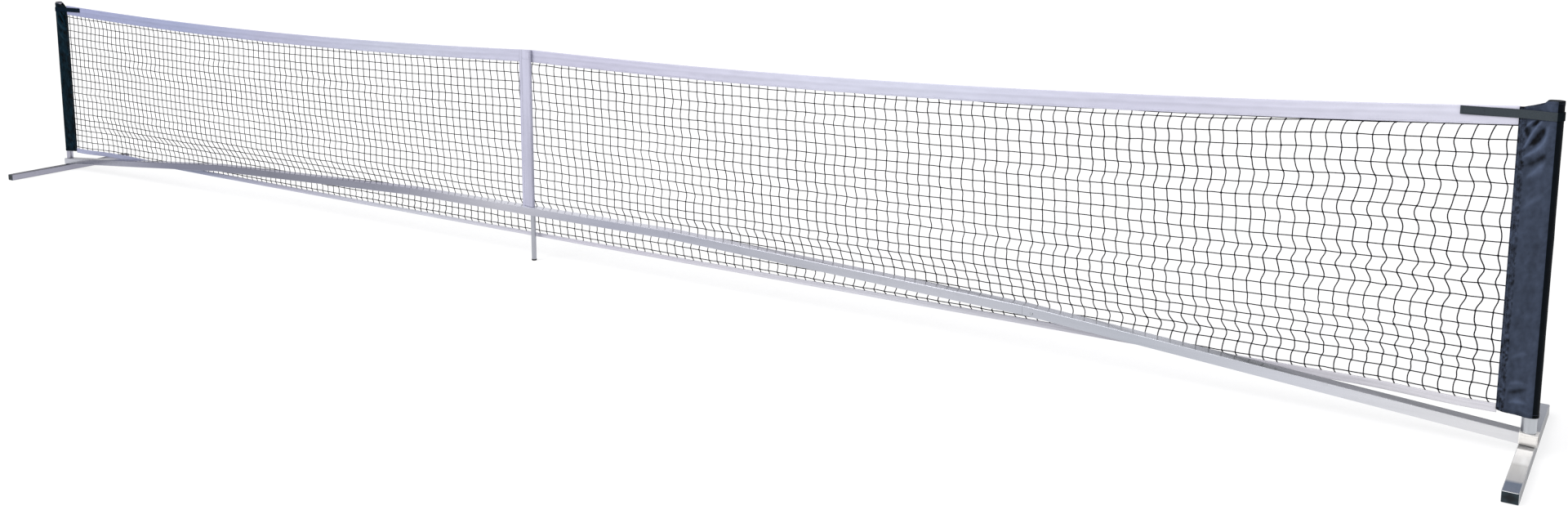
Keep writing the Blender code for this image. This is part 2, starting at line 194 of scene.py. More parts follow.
def blobs(centres, radii, tilt):
    """Small rounded knots: a once divided octahedron each, squashed to radii (n, 3) and turned about Y."""
    o = np.array([(1, 0, 0), (-1, 0, 0), (0, 1, 0), (0, -1, 0), (0, 0, 1), (0, 0, -1)], float)
    f = [(0, 2, 4), (2, 1, 4), (1, 3, 4), (3, 0, 4), (2, 0, 5), (1, 2, 5), (3, 1, 5), (0, 3, 5)]
    verts, tris, mids = list(map(tuple, o)), [], {}
    def mid(a, b):
        key = (min(a, b), max(a, b))
        if key not in mids:
            q = (np.array(verts[a]) + np.array(verts[b])) / 2
            mids[key] = len(verts)
            verts.append(tuple(q / np.linalg.norm(q)))
        return mids[key]
    for a, b, c in f:
        ab, bc, ca = mid(a, b), mid(b, c), mid(c, a)
        tris += [(a, ab, ca), (ab, b, bc), (ca, bc, c), (ab, bc, ca)]
    v, tris = np.array(verts), np.array(tris)
    n = len(centres)
    w = v[None] * np.asarray(radii)[:, None, :]
    ca, sa = np.cos(tilt)[:, None], np.sin(tilt)[:, None]
    x = w[..., 0] * ca + w[..., 2] * sa
    z = -w[..., 0] * sa + w[..., 2] * ca
    w = np.stack([x, w[..., 1], z], axis=-1) + np.asarray(centres)[:, None, :]
    faces = tris[None] + (np.arange(n) * len(v))[:, None, None]
    return w.reshape(-1, 3), [faces.reshape(-1, 3)]


def grid_faces(rows, cols, start=0):
    i = start + np.arange(rows * cols).reshape(rows, cols)
    return np.stack([i[:-1, :-1], i[:-1, 1:], i[1:, 1:], i[1:, :-1]], axis=-1).reshape(-1, 4)


def thick_sheet(outer, inner):
    """A closed cloth from two point grids (rows, cols, 3) a thickness apart."""
    rows, cols = outer.shape[:2]
    n = rows * cols
    a = np.arange(n).reshape(rows, cols)
    b = a + n
    faces = [grid_faces(rows, cols), grid_faces(rows, cols, n)[:, ::-1]]
    def rim(p, q, flip):
        r = np.stack([p[:-1], p[1:], q[1:], q[:-1]], axis=-1)
        return r[:, ::-1] if flip else r
    faces.append(rim(a[0], b[0], True))
    faces.append(rim(a[-1], b[-1], False))
    faces.append(rim(a[:, 0], b[:, 0], False))
    faces.append(rim(a[:, -1], b[:, -1], True))
    return np.concatenate([outer.reshape(-1, 3), inner.reshape(-1, 3)]), faces


def fix_normals(ob):
    """Turns the faces of closed pieces outward."""
    import bmesh
    bm = bmesh.new()
    bm.from_mesh(ob.data)
    bmesh.ops.recalc_face_normals(bm, faces=bm.faces)
    bm.to_mesh(ob.data)
    bm.free()
    return ob


# ---------------------------------------------------------------- materials
def material(name):
    m = bpy.data.materials.new(name)
    m.use_nodes = True
    nt = m.node_tree
    nt.nodes.clear()
    out = nt.nodes.new("ShaderNodeOutputMaterial")
    bsdf = nt.nodes.new("ShaderNodeBsdfPrincipled")
    nt.links.new(bsdf.outputs["BSDF"], out.inputs["Surface"])
    return m, nt, bsdf


def node(nt, kind, inputs=None, **props):
    n = nt.nodes.new("ShaderNode" + kind)
    for k, v in props.items():
        setattr(n, k, v)
    for k, v in (inputs or {}).items():
        if hasattr(v, "is_output"):
            nt.links.new(v, n.inputs[k])
        else:
            n.inputs[k].default_value = v
    return n


def coords(nt, scale=(1, 1, 1), rotation=(0, 0, 0)):
    tc = node(nt, "TexCoord")
    return node(nt, "Mapping", {"Vector": tc.outputs["Object"], "Scale": scale, "Rotation": rotation}).outputs["Vector"]


def axis_value(nt, axis):
    tc = node(nt, "TexCoord")
    sep = node(nt, "SeparateXYZ", {"Vector": tc.outputs["Object"]})
    return sep.outputs[axis]


def noise_node(nt, vector, scale, detail=2.0, rough=0.5):
    return node(nt, "TexNoise", {"Vector": vector, "Scale": scale, "Detail": detail, "Roughness": rough}).outputs["Fac"]


def wave_node(nt, vector, period, direction="X", distortion=0.0):
    n = node(nt, "TexWave", {"Vector": vector, "Scale": 0.314159 / period, "Distortion": distortion, "Detail": 1.0},
             wave_type="BANDS", bands_direction=direction)
    return n.outputs["Fac"]


def ranged(nt, value, lo, hi, a=0.0, b=1.0, kind="LINEAR"):
    n = node(nt, "MapRange", {"Value": value, "From Min": a, "From Max": b, "To Min": lo, "To Max": hi}, interpolation_type=kind)
    return n.outputs["Result"]


def maths(nt, op, a, b=0.0, c=None):
    n = node(nt, "Math", operation=op)
    for i, v in enumerate((a, b) if c is None else (a, b, c)):
        if hasattr(v, "is_output"):
            nt.links.new(v, n.inputs[i])
        else:
            n.inputs[i].default_value = v
    return n.outputs[0]


def mix_colour(nt, fac, a, b, blend="MIX"):
    n = node(nt, "Mix", data_type="RGBA", blend_type=blend)
    for sock, v in ((n.inputs[0], fac), (n.inputs[6], a), (n.inputs[7], b)):
        if hasattr(v, "is_output"):
            nt.links.new(v, sock)
        elif isinstance(v, (int, float)):
            sock.default_value = v
        else:
            sock.default_value = (*v, 1.0)
    return n.outputs[2]


def ramp(nt, value, stops):
    n = node(nt, "ValToRGB", {"Fac": value})
    e = n.color_ramp.elements
    while len(e) < len(stops):
        e.new(0.5)
    for el, (pos, col) in zip(e, sorted(stops)):
        el.position = pos
        el.color = (*col, 1.0)
    return n.outputs["Color"]


def bump(nt, bsdf, height, strength, distance, normal=None):
    n = node(nt, "Bump", {"Height": height, "Strength": strength, "Distance": distance})
    if normal is not None:
        nt.links.new(normal, n.inputs["Normal"])
    nt.links.new(n.outputs["Normal"], bsdf.inputs["Normal"])
    return n.outputs["Normal"]


def aluminium(name, along, stops, rough=(0.13, 0.26), tip=None, top_reflection=None, sides=None, top_reflection_y=None, dull_top=0.0, edge=1.0):
    """Drawn tube: streaks along its length, faint smudges and a few fine scratches. Its colour along X holds painted
    light;
    its upper faces may take painted reflections and shade, its +X-facing faces painted shade, and its end a painted
    highlight."""
    m, nt, b = material(name)
    fine = [420.0, 420.0, 420.0]
    fine["XYZ".index(along)] = 3.0
    long_lines = noise_node(nt, coords(nt, tuple(fine)), 1.0, 3.0, 0.6)
    broad = [60.0, 60.0, 60.0]
    broad["XYZ".index(along)] = 1.2
    bands = noise_node(nt, coords(nt, tuple(broad)), 1.0, 2.0, 0.5)
    smudge = noise_node(nt, coords(nt, (14.0, 14.0, 14.0)), 1.0, 4.0, 0.6)
    spots = noise_node(nt, coords(nt, (150.0, 150.0, 150.0)), 1.0, 2.0, 0.7)
    place = ranged(nt, axis_value(nt, "X"), 0.0, 1.0, -3.45, 3.45)
    # The colour along X from stops holds painted light.
    colour = ramp(nt, place, stops)
    turned = node(nt, "SeparateXYZ", {"Vector": node(nt, "NewGeometry").outputs["Normal"]})
    facing_up = ranged(nt, turned.outputs["Z"], 0.0, 1.0, 0.6, 0.9, "SMOOTHSTEP")
    # Upper faces may take painted reflections and shade.
    if top_reflection:
        colour = mix_colour(nt, facing_up, colour, ramp(nt, place, top_reflection))
    if top_reflection_y:
        # Painted reflections and a painted shadow beside the bar across the right-hand foot's top, which is also made
        # duller.
        facing_up = maths(nt, "MULTIPLY", facing_up, ranged(nt, axis_value(nt, "X"), 0.0, 1.0, 3.0, 3.1))
        colour = mix_colour(nt, facing_up, colour, ramp(nt, ranged(nt, axis_value(nt, "Y"), 0.0, 1.0, -0.37, 0.37), top_reflection_y))
    # Faces turned towards +X may take painted shade.
    if sides:
        colour = mix_colour(nt, ranged(nt, turned.outputs["X"], 0.0, 1.0, 0.6, 0.9, "SMOOTHSTEP"), colour, ramp(nt, place, sides))
    # Past tip[0] along X the colour may be a painted highlight.
    if tip:
        k = ranged(nt, axis_value(nt, "X"), 0.0, 1.0, tip[0], tip[0] + 0.002)
        colour = mix_colour(nt, k, colour, tip[1])
    shade = maths(nt, "MULTIPLY_ADD", long_lines, 0.10, 0.90)
    shade = maths(nt, "MULTIPLY_ADD", bands, 0.12, shade)
    dull = ranged(nt, smudge, 0.0, 1.0, 0.55, 0.75, "SMOOTHSTEP")
    shade = maths(nt, "MULTIPLY_ADD", dull, -0.07, shade)
    marks = ranged(nt, spots, 0.0, 1.0, 0.70, 0.78)
    shade = maths(nt, "MULTIPLY_ADD", marks, -0.10, shade)
    grey = node(nt, "CombineColor", {"Red": shade, "Green": shade, "Blue": shade}).outputs[0]
    nt.links.new(mix_colour(nt, 1.0, colour, grey, "MULTIPLY"), b.inputs["Base Color"])
    nt.links.new(maths(nt, "MULTIPLY_ADD", facing_up, -dull_top, 1.0), b.inputs["Metallic"])
    b.inputs["Specular IOR Level"].default_value = 0.3
    b.inputs["Specular Tint"].default_value = (edge, edge, edge, 1.0)
    r = maths(nt, "MULTIPLY_ADD", long_lines, rough[1] - rough[0], rough[0])
    r = maths(nt, "MULTIPLY_ADD", dull, 0.07, r)
    nt.links.new(r, b.inputs["Roughness"])
    bump(nt, b, long_lines, 0.10, 0.0002)
    return m


def cloth(name, stops=None, colour=None, weave=0.0009, rough=(0.6, 0.75), sheen=0.06, spec=0.3, bump_at=0.25, blotch=0.06, yarn=0.0):
    """Woven cloth: a plain weave, uneven dye and a soft sheen."""
    m, nt, b = material(name)
    v = coords(nt)
    w1 = wave_node(nt, v, weave, "X", 0.6)
    w2 = wave_node(nt, v, weave, "Z", 0.6)
    over = maths(nt, "MULTIPLY", w1, w2)
    uneven = noise_node(nt, coords(nt, (5.0, 5.0, 22.0)), 1.0, 5.0, 0.6)
    fine = noise_node(nt, coords(nt, (300.0, 300.0, 300.0)), 1.0, 2.0, 0.6)
    # stops give the colour along X, used to paint light along the net.
    if stops:
        base = ramp(nt, ranged(nt, axis_value(nt, "X"), 0.0, 1.0, -3.45, 3.45), stops)
    else:
        base = node(nt, "RGB").outputs[0]
        base.default_value = (*colour, 1.0)
    shade = maths(nt, "MULTIPLY_ADD", uneven, blotch * 2, 1.0 - blotch)
    shade = maths(nt, "MULTIPLY_ADD", fine, 0.08 + yarn, shade)
    shade = maths(nt, "MULTIPLY_ADD", over, -(0.05 + yarn), shade)
    # Painted shade and highlights of folds, ridges and bands of the cloth, with some mottling, worked out with the mesh
    # (0 where it has none).
    mesh_painted_shade = node(nt, "Attribute", attribute_name="shade").outputs["Fac"]
    shade = maths(nt, "MULTIPLY", shade, maths(nt, "ADD", mesh_painted_shade, 1.0))
    grey = node(nt, "CombineColor", {"Red": shade, "Green": shade, "Blue": shade}).outputs[0]
    nt.links.new(mix_colour(nt, 1.0, base, grey, "MULTIPLY"), b.inputs["Base Color"])
    nt.links.new(ranged(nt, uneven, rough[0], rough[1]), b.inputs["Roughness"])
    b.inputs["Sheen Weight"].default_value = sheen
    b.inputs["Sheen Roughness"].default_value = 0.5
    b.inputs["Specular IOR Level"].default_value = spec
    height = maths(nt, "MULTIPLY_ADD", fine, 0.5, over)
    bump(nt, b, height, bump_at, 0.0003)
    return m


def plastic(name, colour, rough, grain=900.0, strength=0.12, spec=0.4, rim=False):
    m, nt, b = material(name)
    g = noise_node(nt, coords(nt), grain, 2.0, 0.6)
    wear = noise_node(nt, coords(nt), 60.0, 4.0, 0.6)
    dust = ranged(nt, wear, 0.0, 1.0, 0.55, 0.8, "SMOOTHSTEP")
    lighter = tuple(min(1.0, c * 1.7 + 0.01) for c in colour)
    base = mix_colour(nt, dust, colour, lighter)
    if rim:
        # The foot's end: bare metal shows round the plug's edge, its tone darker to the left as painted light, and the
        # plug's dished middle is painted darker as shade.
        away = maths(nt, "ABSOLUTE", maths(nt, "SUBTRACT", maths(nt, "ABSOLUTE", axis_value(nt, "X")), 3.4))
        high = maths(nt, "ABSOLUTE", maths(nt, "SUBTRACT", axis_value(nt, "Z"), 0.015))
        edge = maths(nt, "MAXIMUM", maths(nt, "SUBTRACT", away, 0.0178), maths(nt, "SUBTRACT", high, 0.0138))
        edge = ranged(nt, edge, 0.0, 1.0, -0.0003, 0.0003)
        dish_painted_shade = ranged(nt, maths(nt, "ADD", maths(nt, "MULTIPLY", away, 55.0), maths(nt, "MULTIPLY", high, 70.0)), 0.0, 1.0, 0.3, 1.4, "SMOOTHSTEP")
        base = mix_colour(nt, dish_painted_shade, (0.002, 0.004, 0.006), base)
        metal = ramp(nt, ranged(nt, axis_value(nt, "X"), 0.0, 1.0, -3.45, 3.45), at_x((-3.4, (0.10, 0.10, 0.12)), (3.4, (0.42, 0.43, 0.45))))
        base = mix_colour(nt, edge, base, metal)
        nt.links.new(edge, b.inputs["Metallic"])
    nt.links.new(base, b.inputs["Base Color"])
    nt.links.new(ranged(nt, wear, rough[0], rough[1]), b.inputs["Roughness"])
    b.inputs["Specular IOR Level"].default_value = spec
    bump(nt, b, g, strength, 0.0004)
    return m


def at_x(*stops):
    """Colour stops given by their place along the net in metres."""
    return [((x + 3.45) / 6.9, c) for x, c in stops]


# The bar's grey along its length with painted light and shade: darkest near x = -2.4, lightest towards the right-hand
# end.
BAR_TONE_PAINTED_LIGHT = at_x((-3.4, (0.44, 0.45, 0.50)), (-3.2, (0.42, 0.43, 0.48)), (-2.8, (0.29, 0.295, 0.36)), (-2.4, (0.200, 0.205, 0.27)), (-1.6, (0.21, 0.215, 0.26)), (-0.8, (0.27, 0.275, 0.33)),
             (-0.16, (0.47, 0.47, 0.52)), (0.4, (0.37, 0.38, 0.45)), (1.2, (0.42, 0.43, 0.48)), (1.8, (0.49, 0.50, 0.55)),
             (2.4, (0.43, 0.45, 0.50)), (2.9, (0.57, 0.58, 0.63)), (3.3, (0.67, 0.67, 0.69)))
# Painted reflections and shade on the bar's upper faces along its length.
BAR_TOP_PAINTED_REFLECTION = at_x((-3.4, (0.14, 0.14, 0.16)), (-3.1, (0.14, 0.14, 0.17)), (-2.4, (0.22, 0.22, 0.32)), (-1.6, (0.28, 0.28, 0.37)),
                 (-0.8, (0.30, 0.30, 0.41)), (-0.25, (0.75, 0.76, 0.83)), (0.4, (0.79, 0.80, 0.89)), (1.2, (0.61, 0.61, 0.68)),
                 (1.8, (0.56, 0.57, 0.63)), (2.45, (0.69, 0.71, 0.77)), (2.72, (0.26, 0.27, 0.29)), (3.3, (0.28, 0.285, 0.31)))
# The bar's end past x = 3.3805 is painted near white as a highlight.
m_bar = aluminium("aluminium_bar", "X", BAR_TONE_PAINTED_LIGHT, tip=(3.3805, (0.90, 0.88, 0.85)), top_reflection=BAR_TOP_PAINTED_REFLECTION, dull_top=0.45)


def at_y(*stops):
    return [((y + 0.37) / 0.74, c) for y, c in stops]


# Painted reflections and shadow across the right-hand foot's top, front to back: dark at the front end, light and
# near-white bands, a painted shadow at the bar, then grey.
FOOT_TOP_PAINTED_REFLECTION = at_y((-0.365, (0.25, 0.28, 0.35)), (-0.300, (0.22, 0.26, 0.33)), (-0.280, (0.66, 0.65, 0.65)), (-0.170, (0.73, 0.72, 0.70)),
                (-0.150, (0.97, 0.96, 0.94)), (-0.050, (0.97, 0.96, 0.95)), (-0.043, (0.27, 0.27, 0.27)), (0.02, (0.30, 0.30, 0.31)),
                (0.06, (0.40, 0.42, 0.46)), (0.365, (0.42, 0.44, 0.49)))
# The feet's colour holds painted light along X, the right foot near white, and painted shade on their +X-facing sides.
m_foot = aluminium("aluminium_foot", "Y", at_x((-3.4, (0.33, 0.33, 0.385)), (3.4, (0.97, 0.97, 0.98))), rough=(0.15, 0.24),
                   sides=at_x((-3.4, (0.325, 0.325, 0.39)), (3.4, (0.30, 0.32, 0.37))), top_reflection_y=FOOT_TOP_PAINTED_REFLECTION, dull_top=0.65, edge=0.45)
# The posts' grey changes along X as painted light.
m_post = aluminium("aluminium_post", "Z", at_x((-3.4, (0.40, 0.40, 0.47)), (0.0, (0.38, 0.39, 0.43)), (3.4, (0.46, 0.48, 0.51))), rough=(0.27, 0.40))
m_spring = aluminium("spring_steel", "X", [(0.0, (0.42, 0.42, 0.43)), (1.0, (0.42, 0.42, 0.43))], rough=(0.25, 0.4))
m_plug = plastic("black_plug", (0.010, 0.020, 0.026), (0.35, 0.5), spec=0.25, rim=True)
m_cap = plastic("black_cap", (0.004, 0.007, 0.010), (0.5, 0.65), spec=0.08)
m_rubber = plastic("black_rubber", (0.012, 0.012, 0.013), (0.65, 0.85), grain=500.0, strength=0.3)
m_cord = cloth("black_twine", colour=(0.006, 0.006, 0.008), weave=0.0016, rough=(0.8, 0.9), sheen=0.0, spec=0.12, bump_at=0.5)
# The tapes' colour along the net with painted light: darker and bluer to the left, lighter to the right.
TAPE_TONE_PAINTED_LIGHT = at_x((-3.1, (0.255, 0.275, 0.425)), (-2.3, (0.27, 0.295, 0.435)), (-1.6, (0.34, 0.345, 0.46)), (-0.8, (0.41, 0.425, 0.52)),
            (0.3, (0.435, 0.43, 0.54)), (0.9, (0.465, 0.465, 0.565)), (1.7, (0.49, 0.50, 0.60)), (2.4, (0.455, 0.455, 0.555)), (3.1, (0.51, 0.51, 0.60)))
m_tape = cloth("white_tape", stops=TAPE_TONE_PAINTED_LIGHT, weave=0.0011, rough=(0.55, 0.7), sheen=0.05, spec=0.3, bump_at=0.25, blotch=0.06)
# The hem takes the tapes' colour with its painted light, less blue, and lighter by a factor from 1.22 at the left to
# 1.06 at the right.
m_hem = cloth("white_hem", stops=[(q, tuple(min(0.7, c * t * (1.22 - 0.16 * q)) for c, t in zip(k, (0.97, 0.955, 0.87)))) for q, k in TAPE_TONE_PAINTED_LIGHT], weave=0.0011, rough=(0.55, 0.7), sheen=0.05, spec=0.3, bump_at=0.25, blotch=0.08)
# The thread is the tapes' colour darkened to 0.74: painted shade of the stitches.
m_thread = cloth("white_thread", stops=[(q, tuple(c * 0.74 for c in k)) for q, k in TAPE_TONE_PAINTED_LIGHT], weave=0.0005, rough=(0.5, 0.6), bump_at=0.3)

m_sleeve = cloth("navy_nylon", colour=(0.0292, 0.0382, 0.0615), weave=0.0007, rough=(0.34, 0.48), sheen=0.0, spec=0.07, bump_at=0.25, blotch=0.22)
# The left sleeve: a darker copy of the navy nylon, as painted shade.
m_sleeve_left_painted_shade = cloth("left_nylon_painted_shade", colour=(0.0016, 0.0080, 0.0134), weave=0.0007, rough=(0.34, 0.48), sheen=0.0, spec=0.03, bump_at=0.25, blotch=0.25)
# Near-black copy of the nylon for the sleeves' round sides beyond x = 3.407: painted shade.
m_sleeve_side_painted_shade = cloth("side_nylon_painted_shade", colour=(0.0015, 0.003, 0.005), weave=0.0007, rough=(0.5, 0.6), sheen=0.0, spec=0.04, bump_at=0.25, blotch=0.15)
m_strap = cloth("grey_webbing", colour=(0.030, 0.038, 0.045), weave=0.0017, rough=(0.7, 0.85), sheen=0.05, spec=0.15, bump_at=0.7, blotch=0.2, yarn=0.45)
# The left strap: a darker copy of the grey webbing, as painted shade.
m_strap_left_painted_shade = cloth("left_webbing_painted_shade", colour=(0.003, 0.008, 0.015), weave=0.0017, rough=(0.7, 0.85), sheen=0.0, spec=0.02, bump_at=0.6, blotch=0.15, yarn=0.35)
m_strap_side = cloth("shaded_webbing", colour=(0.0035, 0.006, 0.008), weave=0.0017, rough=(0.7, 0.85), sheen=0.0, spec=0.03, bump_at=0.6, blotch=0.15, yarn=0.35)
m_dark_thread = cloth("dark_thread", colour=(0.012, 0.015, 0.022), weave=0.0006, rough=(0.5, 0.65), spec=0.2, bump_at=0.3)
m_navy_thread = cloth("navy_thread", colour=(0.045, 0.060, 0.10), weave=0.0006, rough=(0.5, 0.65), spec=0.3, bump_at=0.3)
m_pale_thread = cloth("pale_thread", colour=(0.20, 0.21, 0.27), weave=0.0006, rough=(0.5, 0.65), bump_at=0.3)

LOOK = {"aluminium": m_post, "spring_steel": m_spring, "black_plastic": m_plug, "rubber": m_rubber,
        "white_tape": m_tape, "net_cord": m_cord, "dark_nylon": m_sleeve, "webbing": m_strap}
for name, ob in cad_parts.items():
    if name.startswith(("beam_", "coupler_")):
        look = m_bar
    elif name.startswith(("foot_left", "foot_right")):
        look = m_foot
    elif name.startswith("foot_plug"):
        look = m_plug
    elif name.startswith("post_cap"):
        look = m_cap
    elif name.startswith("snap_spring"):
        look = m_spring
    elif name == "center_leg_tip":
        look = m_rubber
    else:
        look = m_post
    for s in ob.material_slots:
        s.material = look

# ---------------------------------------------------------------- the knotted net
PITCH_X, ROWS = 0.038, 21
COLS = 175
col_x = (np.arange(COLS) - (COLS - 1) / 2) * PITCH_X
ROW_WEIGHT = np.array([1.05] * 14 + [0.92, 0.84, 0.82, 0.84, 0.90, 0.95])
ROW_AT = np.concatenate([[0.0], np.cumsum(ROW_WEIGHT)]) / ROW_WEIGHT.sum()


def along_x(x, points):
    """A smooth value along the net through a few given points (x, value)."""
    xs, vs = zip(*points)
    out = np.zeros_like(np.asarray(x, float)) + vs[0]
    for (xa, va), (xb, vb) in zip(points[:-1], points[1:]):
        out = out + (vb - va) * smooth((x - xa) / (xb - xa))
    return out


def lean(x, r):
    """How far the knots of row r stand to the right of the top row's, as the slack net hangs."""
    low = along_x(x, [(-HALF, 0.0), (-2.95, 0.046), (-2.2, 0.074), (-1.5, 0.046), (-0.8, 0.034), (0.2, 0.020),
                      (1.0, 0.020), (1.7, 0.028), (2.3, 0.022), (2.9, 0.012), (HALF, 0.0)])
    upper = along_x(x, [(-HALF, 0.0), (-2.9, -0.010), (-2.3, -0.019), (-1.6, -0.009), (-0.9, 0.0), (0.15, 0.011),
                        (0.8, 0.005), (1.3, -0.002), (1.8, 0.006), (2.5, 0.003), (HALF, 0.0)])
    middle = along_x(x, [(-HALF, 0.0), (-2.4, 0.002), (-1.8, 0.010), (-0.4, 0.011), (0.6, 0.012), (1.4, 0.007), (2.2, 0.002), (HALF, 0.0)])
    return low * smooth((r - 14.2) / 4.2) + upper * smooth(r / 5.0) + middle * smooth((r - 7.5) / 5.0)


# At the right-hand end the slack shows as one zigzag shared by all the columns: its step in mm, row by row.
ZIGZAG = np.array([10.5, -4.0, 1.2, -5.3, 5.5, 7.0, -5.0, -4.5, 3.4, -4.0, 8.5, -2.2, 10.0, -2.4, -3.0, -1.5, 8.0, -1.2, 4.5, 0.6, -3.6]) / 1000.0


def sway(x, r, seed):
    """The rows' own sideways steps, each nearly the same for neighbouring columns."""
    amp = along_x(x, [(-HALF, 0.001), (-3.1, 0.0055), (-2.4, 0.0062), (-1.6, 0.0040), (-0.6, 0.0030), (0.6, 0.0034),
                      (1.6, 0.0042), (2.3, 0.0042), (2.9, 0.0022), (3.22, 0.0018), (HALF, 0.001)])
    shared = along_x(x, [(-HALF, 0.0), (1.2, 0.0), (1.9, 0.25), (2.5, 0.50), (3.05, 1.0), (3.27, 1.0), (HALF, 0.6)])
    return amp * noise(x * 1.5 + 40.0, r * 3.137 + 0.5, seed) * 1.35 + shared * np.interp(r, np.arange(ROWS), ZIGZAG)


def row_z(x, r):
    gap = along_x(x, [(-HALF, 0.011), (-1.5, 0.012), (0.0, 0.011), (1.8, 0.012), (2.4, 0.014), (3.02, 0.0015), (HALF, 0.001)])
    foot = along_x(x, [(-HALF, 0.010), (-2.0, 0.012), (0.0, 0.013), (2.2, 0.008), (HALF, 0.011)])
    z0 = tape_top(x) - TAPE_H - gap
    z1 = hem_high(x) + foot
    f = np.interp(r, np.arange(ROWS), ROW_AT)
    wave = 0.0012 * noise(x * 3.1, r * 1.7 + 3.0, 5) + 0.0007 * noise(x * 11.0, r * 2.9, 6)
    return z0 + (z1 - z0) * f + wave


rng = np.random.RandomState(7714)
R = np.arange(ROWS)
CX, RR = np.meshgrid(col_x, R, indexing="ij")                     # (cols, rows)
KX = CX + lean(CX, RR) + sway(CX, RR, 11) + rng.normal(0, 0.0005, CX.shape)
KZ = row_z(KX, RR) + rng.normal(0, 0.0004, CX.shape)
KY = net_y(KX, KZ)
knots = np.stack([KX, KY, KZ], axis=-1)

# Up and down cords: from inside the top tape, through the knots, into the bottom tape.
hang = rng.normal(0, 0.0022, COLS) + 0.003 * noise(col_x * 2.3, 0.5, 21)
hang = hang - along_x(col_x, [(-HALF, -0.002), (-2.6, -0.003), (1.2, 0.0), (2.0, 0.002), (2.5, 0.004), (3.2, 0.004), (HALF, 0.002)])
top_in = np.stack([KX[:, 0] - hang, net_y(KX[:, 0], 0.9) * 1.0, tape_top(KX[:, 0]) - TAPE_H + 0.004], axis=-1)
drift = 0.004 + 0.002 * noise(col_x * 2.7, 3.3, 23) + rng.normal(0, 0.0015, COLS)
low_in = np.stack([KX[:, -1] + drift, net_y(KX[:, -1], 0.1), hem_high(KX[:, -1]) - 0.004], axis=-1)
spine = np.concatenate([top_in[:, None], knots, low_in[:, None]], axis=1)      # (cols, rows + 2, 3)
slopes = np.gradient(spine, axis=1)
# Each cord leaves its knots at an angle of its own, which bows it to one side or into an S.
rr = np.arange(ROWS + 2)[None, :]
bow_amp = along_x(col_x, [(-HALF, 0.006), (-2.6, 0.012), (-1.2, 0.010), (0.0, 0.010), (1.5, 0.012), (2.6, 0.018), (3.2, 0.022), (HALF, 0.014)])[:, None]
kink = bow_amp * (noise(col_x[:, None] * 1.3 + 5.0, rr * 2.71 + 0.5, 31) + 0.35 * noise(col_x[:, None] * 9.0, rr * 1.9, 32))
under = smooth((rr - 18.0) / 2.0) * along_x(col_x, [(-HALF, 0.004), (-2.2, 0.010), (-1.0, 0.016), (0.0, 0.010), (1.2, 0.010), (2.2, 0.004), (HALF, 0.0)])[:, None]
before, after = slopes.copy(), slopes.copy()
before[..., 0] += kink - under * 1.0
after[..., 0] += kink + under * 1.2


def spans(points, leave, arrive, sub):
    p0, p1 = points[:, :-1, None], points[:, 1:, None]
    m0, m1 = leave[:, :-1, None], arrive[:, 1:, None]
    t = (np.arange(sub) / sub)[None, None, :, None]
    h = (2 * t ** 3 - 3 * t ** 2 + 1) * p0 + (t ** 3 - 2 * t ** 2 + t) * m0 + (-2 * t ** 3 + 3 * t ** 2) * p1 + (t ** 3 - t ** 2) * m1
    h = h.reshape(points.shape[0], -1, 3)
    return np.concatenate([h, points[:, -1:]], axis=1)


SUB = 5
uprights = spans(spine, after, before, SUB)
uprights[..., 1] = np.where(uprights[..., 2] > 0, net_y(uprights[..., 0], uprights[..., 2]), 0.0)


def cord_r(x):
    return along_x(x, [(-HALF, 0.00190), (-1.9, 0.00178), (-0.7, 0.00172), (0.3, 0.00160), (HALF, 0.00160)])


thin = 1.0 + 0.10 * noise(col_x[:, None] * 4.0, np.arange(uprights.shape[1])[None, :] * 0.05, 41) + rng.normal(0, 0.03, (COLS, 1))
half_cols = COLS // 2
for tag, sl in (("left", slice(0, half_cols)), ("right", slice(half_cols, COLS))):
    v, f = tubes(uprights[sl], cord_r(uprights[sl][..., 0]) * thin[sl], sides=6)
    ob = add_mesh("net_uprights_" + tag, v, f, m_cord, slot="net_cord")
    if tag == "left":
        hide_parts("net_mesh")

# Crosswise cords: through every knot of a row and into the side sleeves' seams.
ends = []
for s in (-1.0, 1.0):
    x = np.full(ROWS, s * (HALF + 0.004))
    z = row_z(x, R)
    ends.append(np.stack([x, net_y(x, z), z], axis=-1))
cross = np.concatenate([ends[0][:, None], knots.transpose(1, 0, 2), ends[1][:, None]], axis=1)   # (rows, cols + 2, 3)
slopes = np.gradient(cross, axis=1)
wob = 0.0028 * noise(np.arange(COLS + 2)[None, :] * 0.9, R[:, None] * 3.3, 51) + rng.normal(0, 0.0016, (ROWS, COLS + 2))
slopes[..., 2] += wob
rows_line = spans(cross, slopes, slopes, 3)
rows_line[..., 1] = net_y(rows_line[..., 0], rows_line[..., 2])
v, f = tubes(rows_line, cord_r(rows_line[..., 0]), sides=6)
add_mesh("net_crosswise", v, f, m_cord, slot="net_cord")

kc = knots.reshape(-1, 3)
grow = 1.0 + rng.normal(0, 0.10, (len(kc), 1))
radii = np.array([1.72, 1.40, 1.78])[None] * cord_r(kc[:, :1]) * grow * (1.0 + rng.normal(0, 0.06, (len(kc), 3)))
v, f = blobs(kc, radii, rng.uniform(-0.7, 0.7, len(kc)))
add_mesh("net_knots", v, f, m_cord, slot="net_cord")

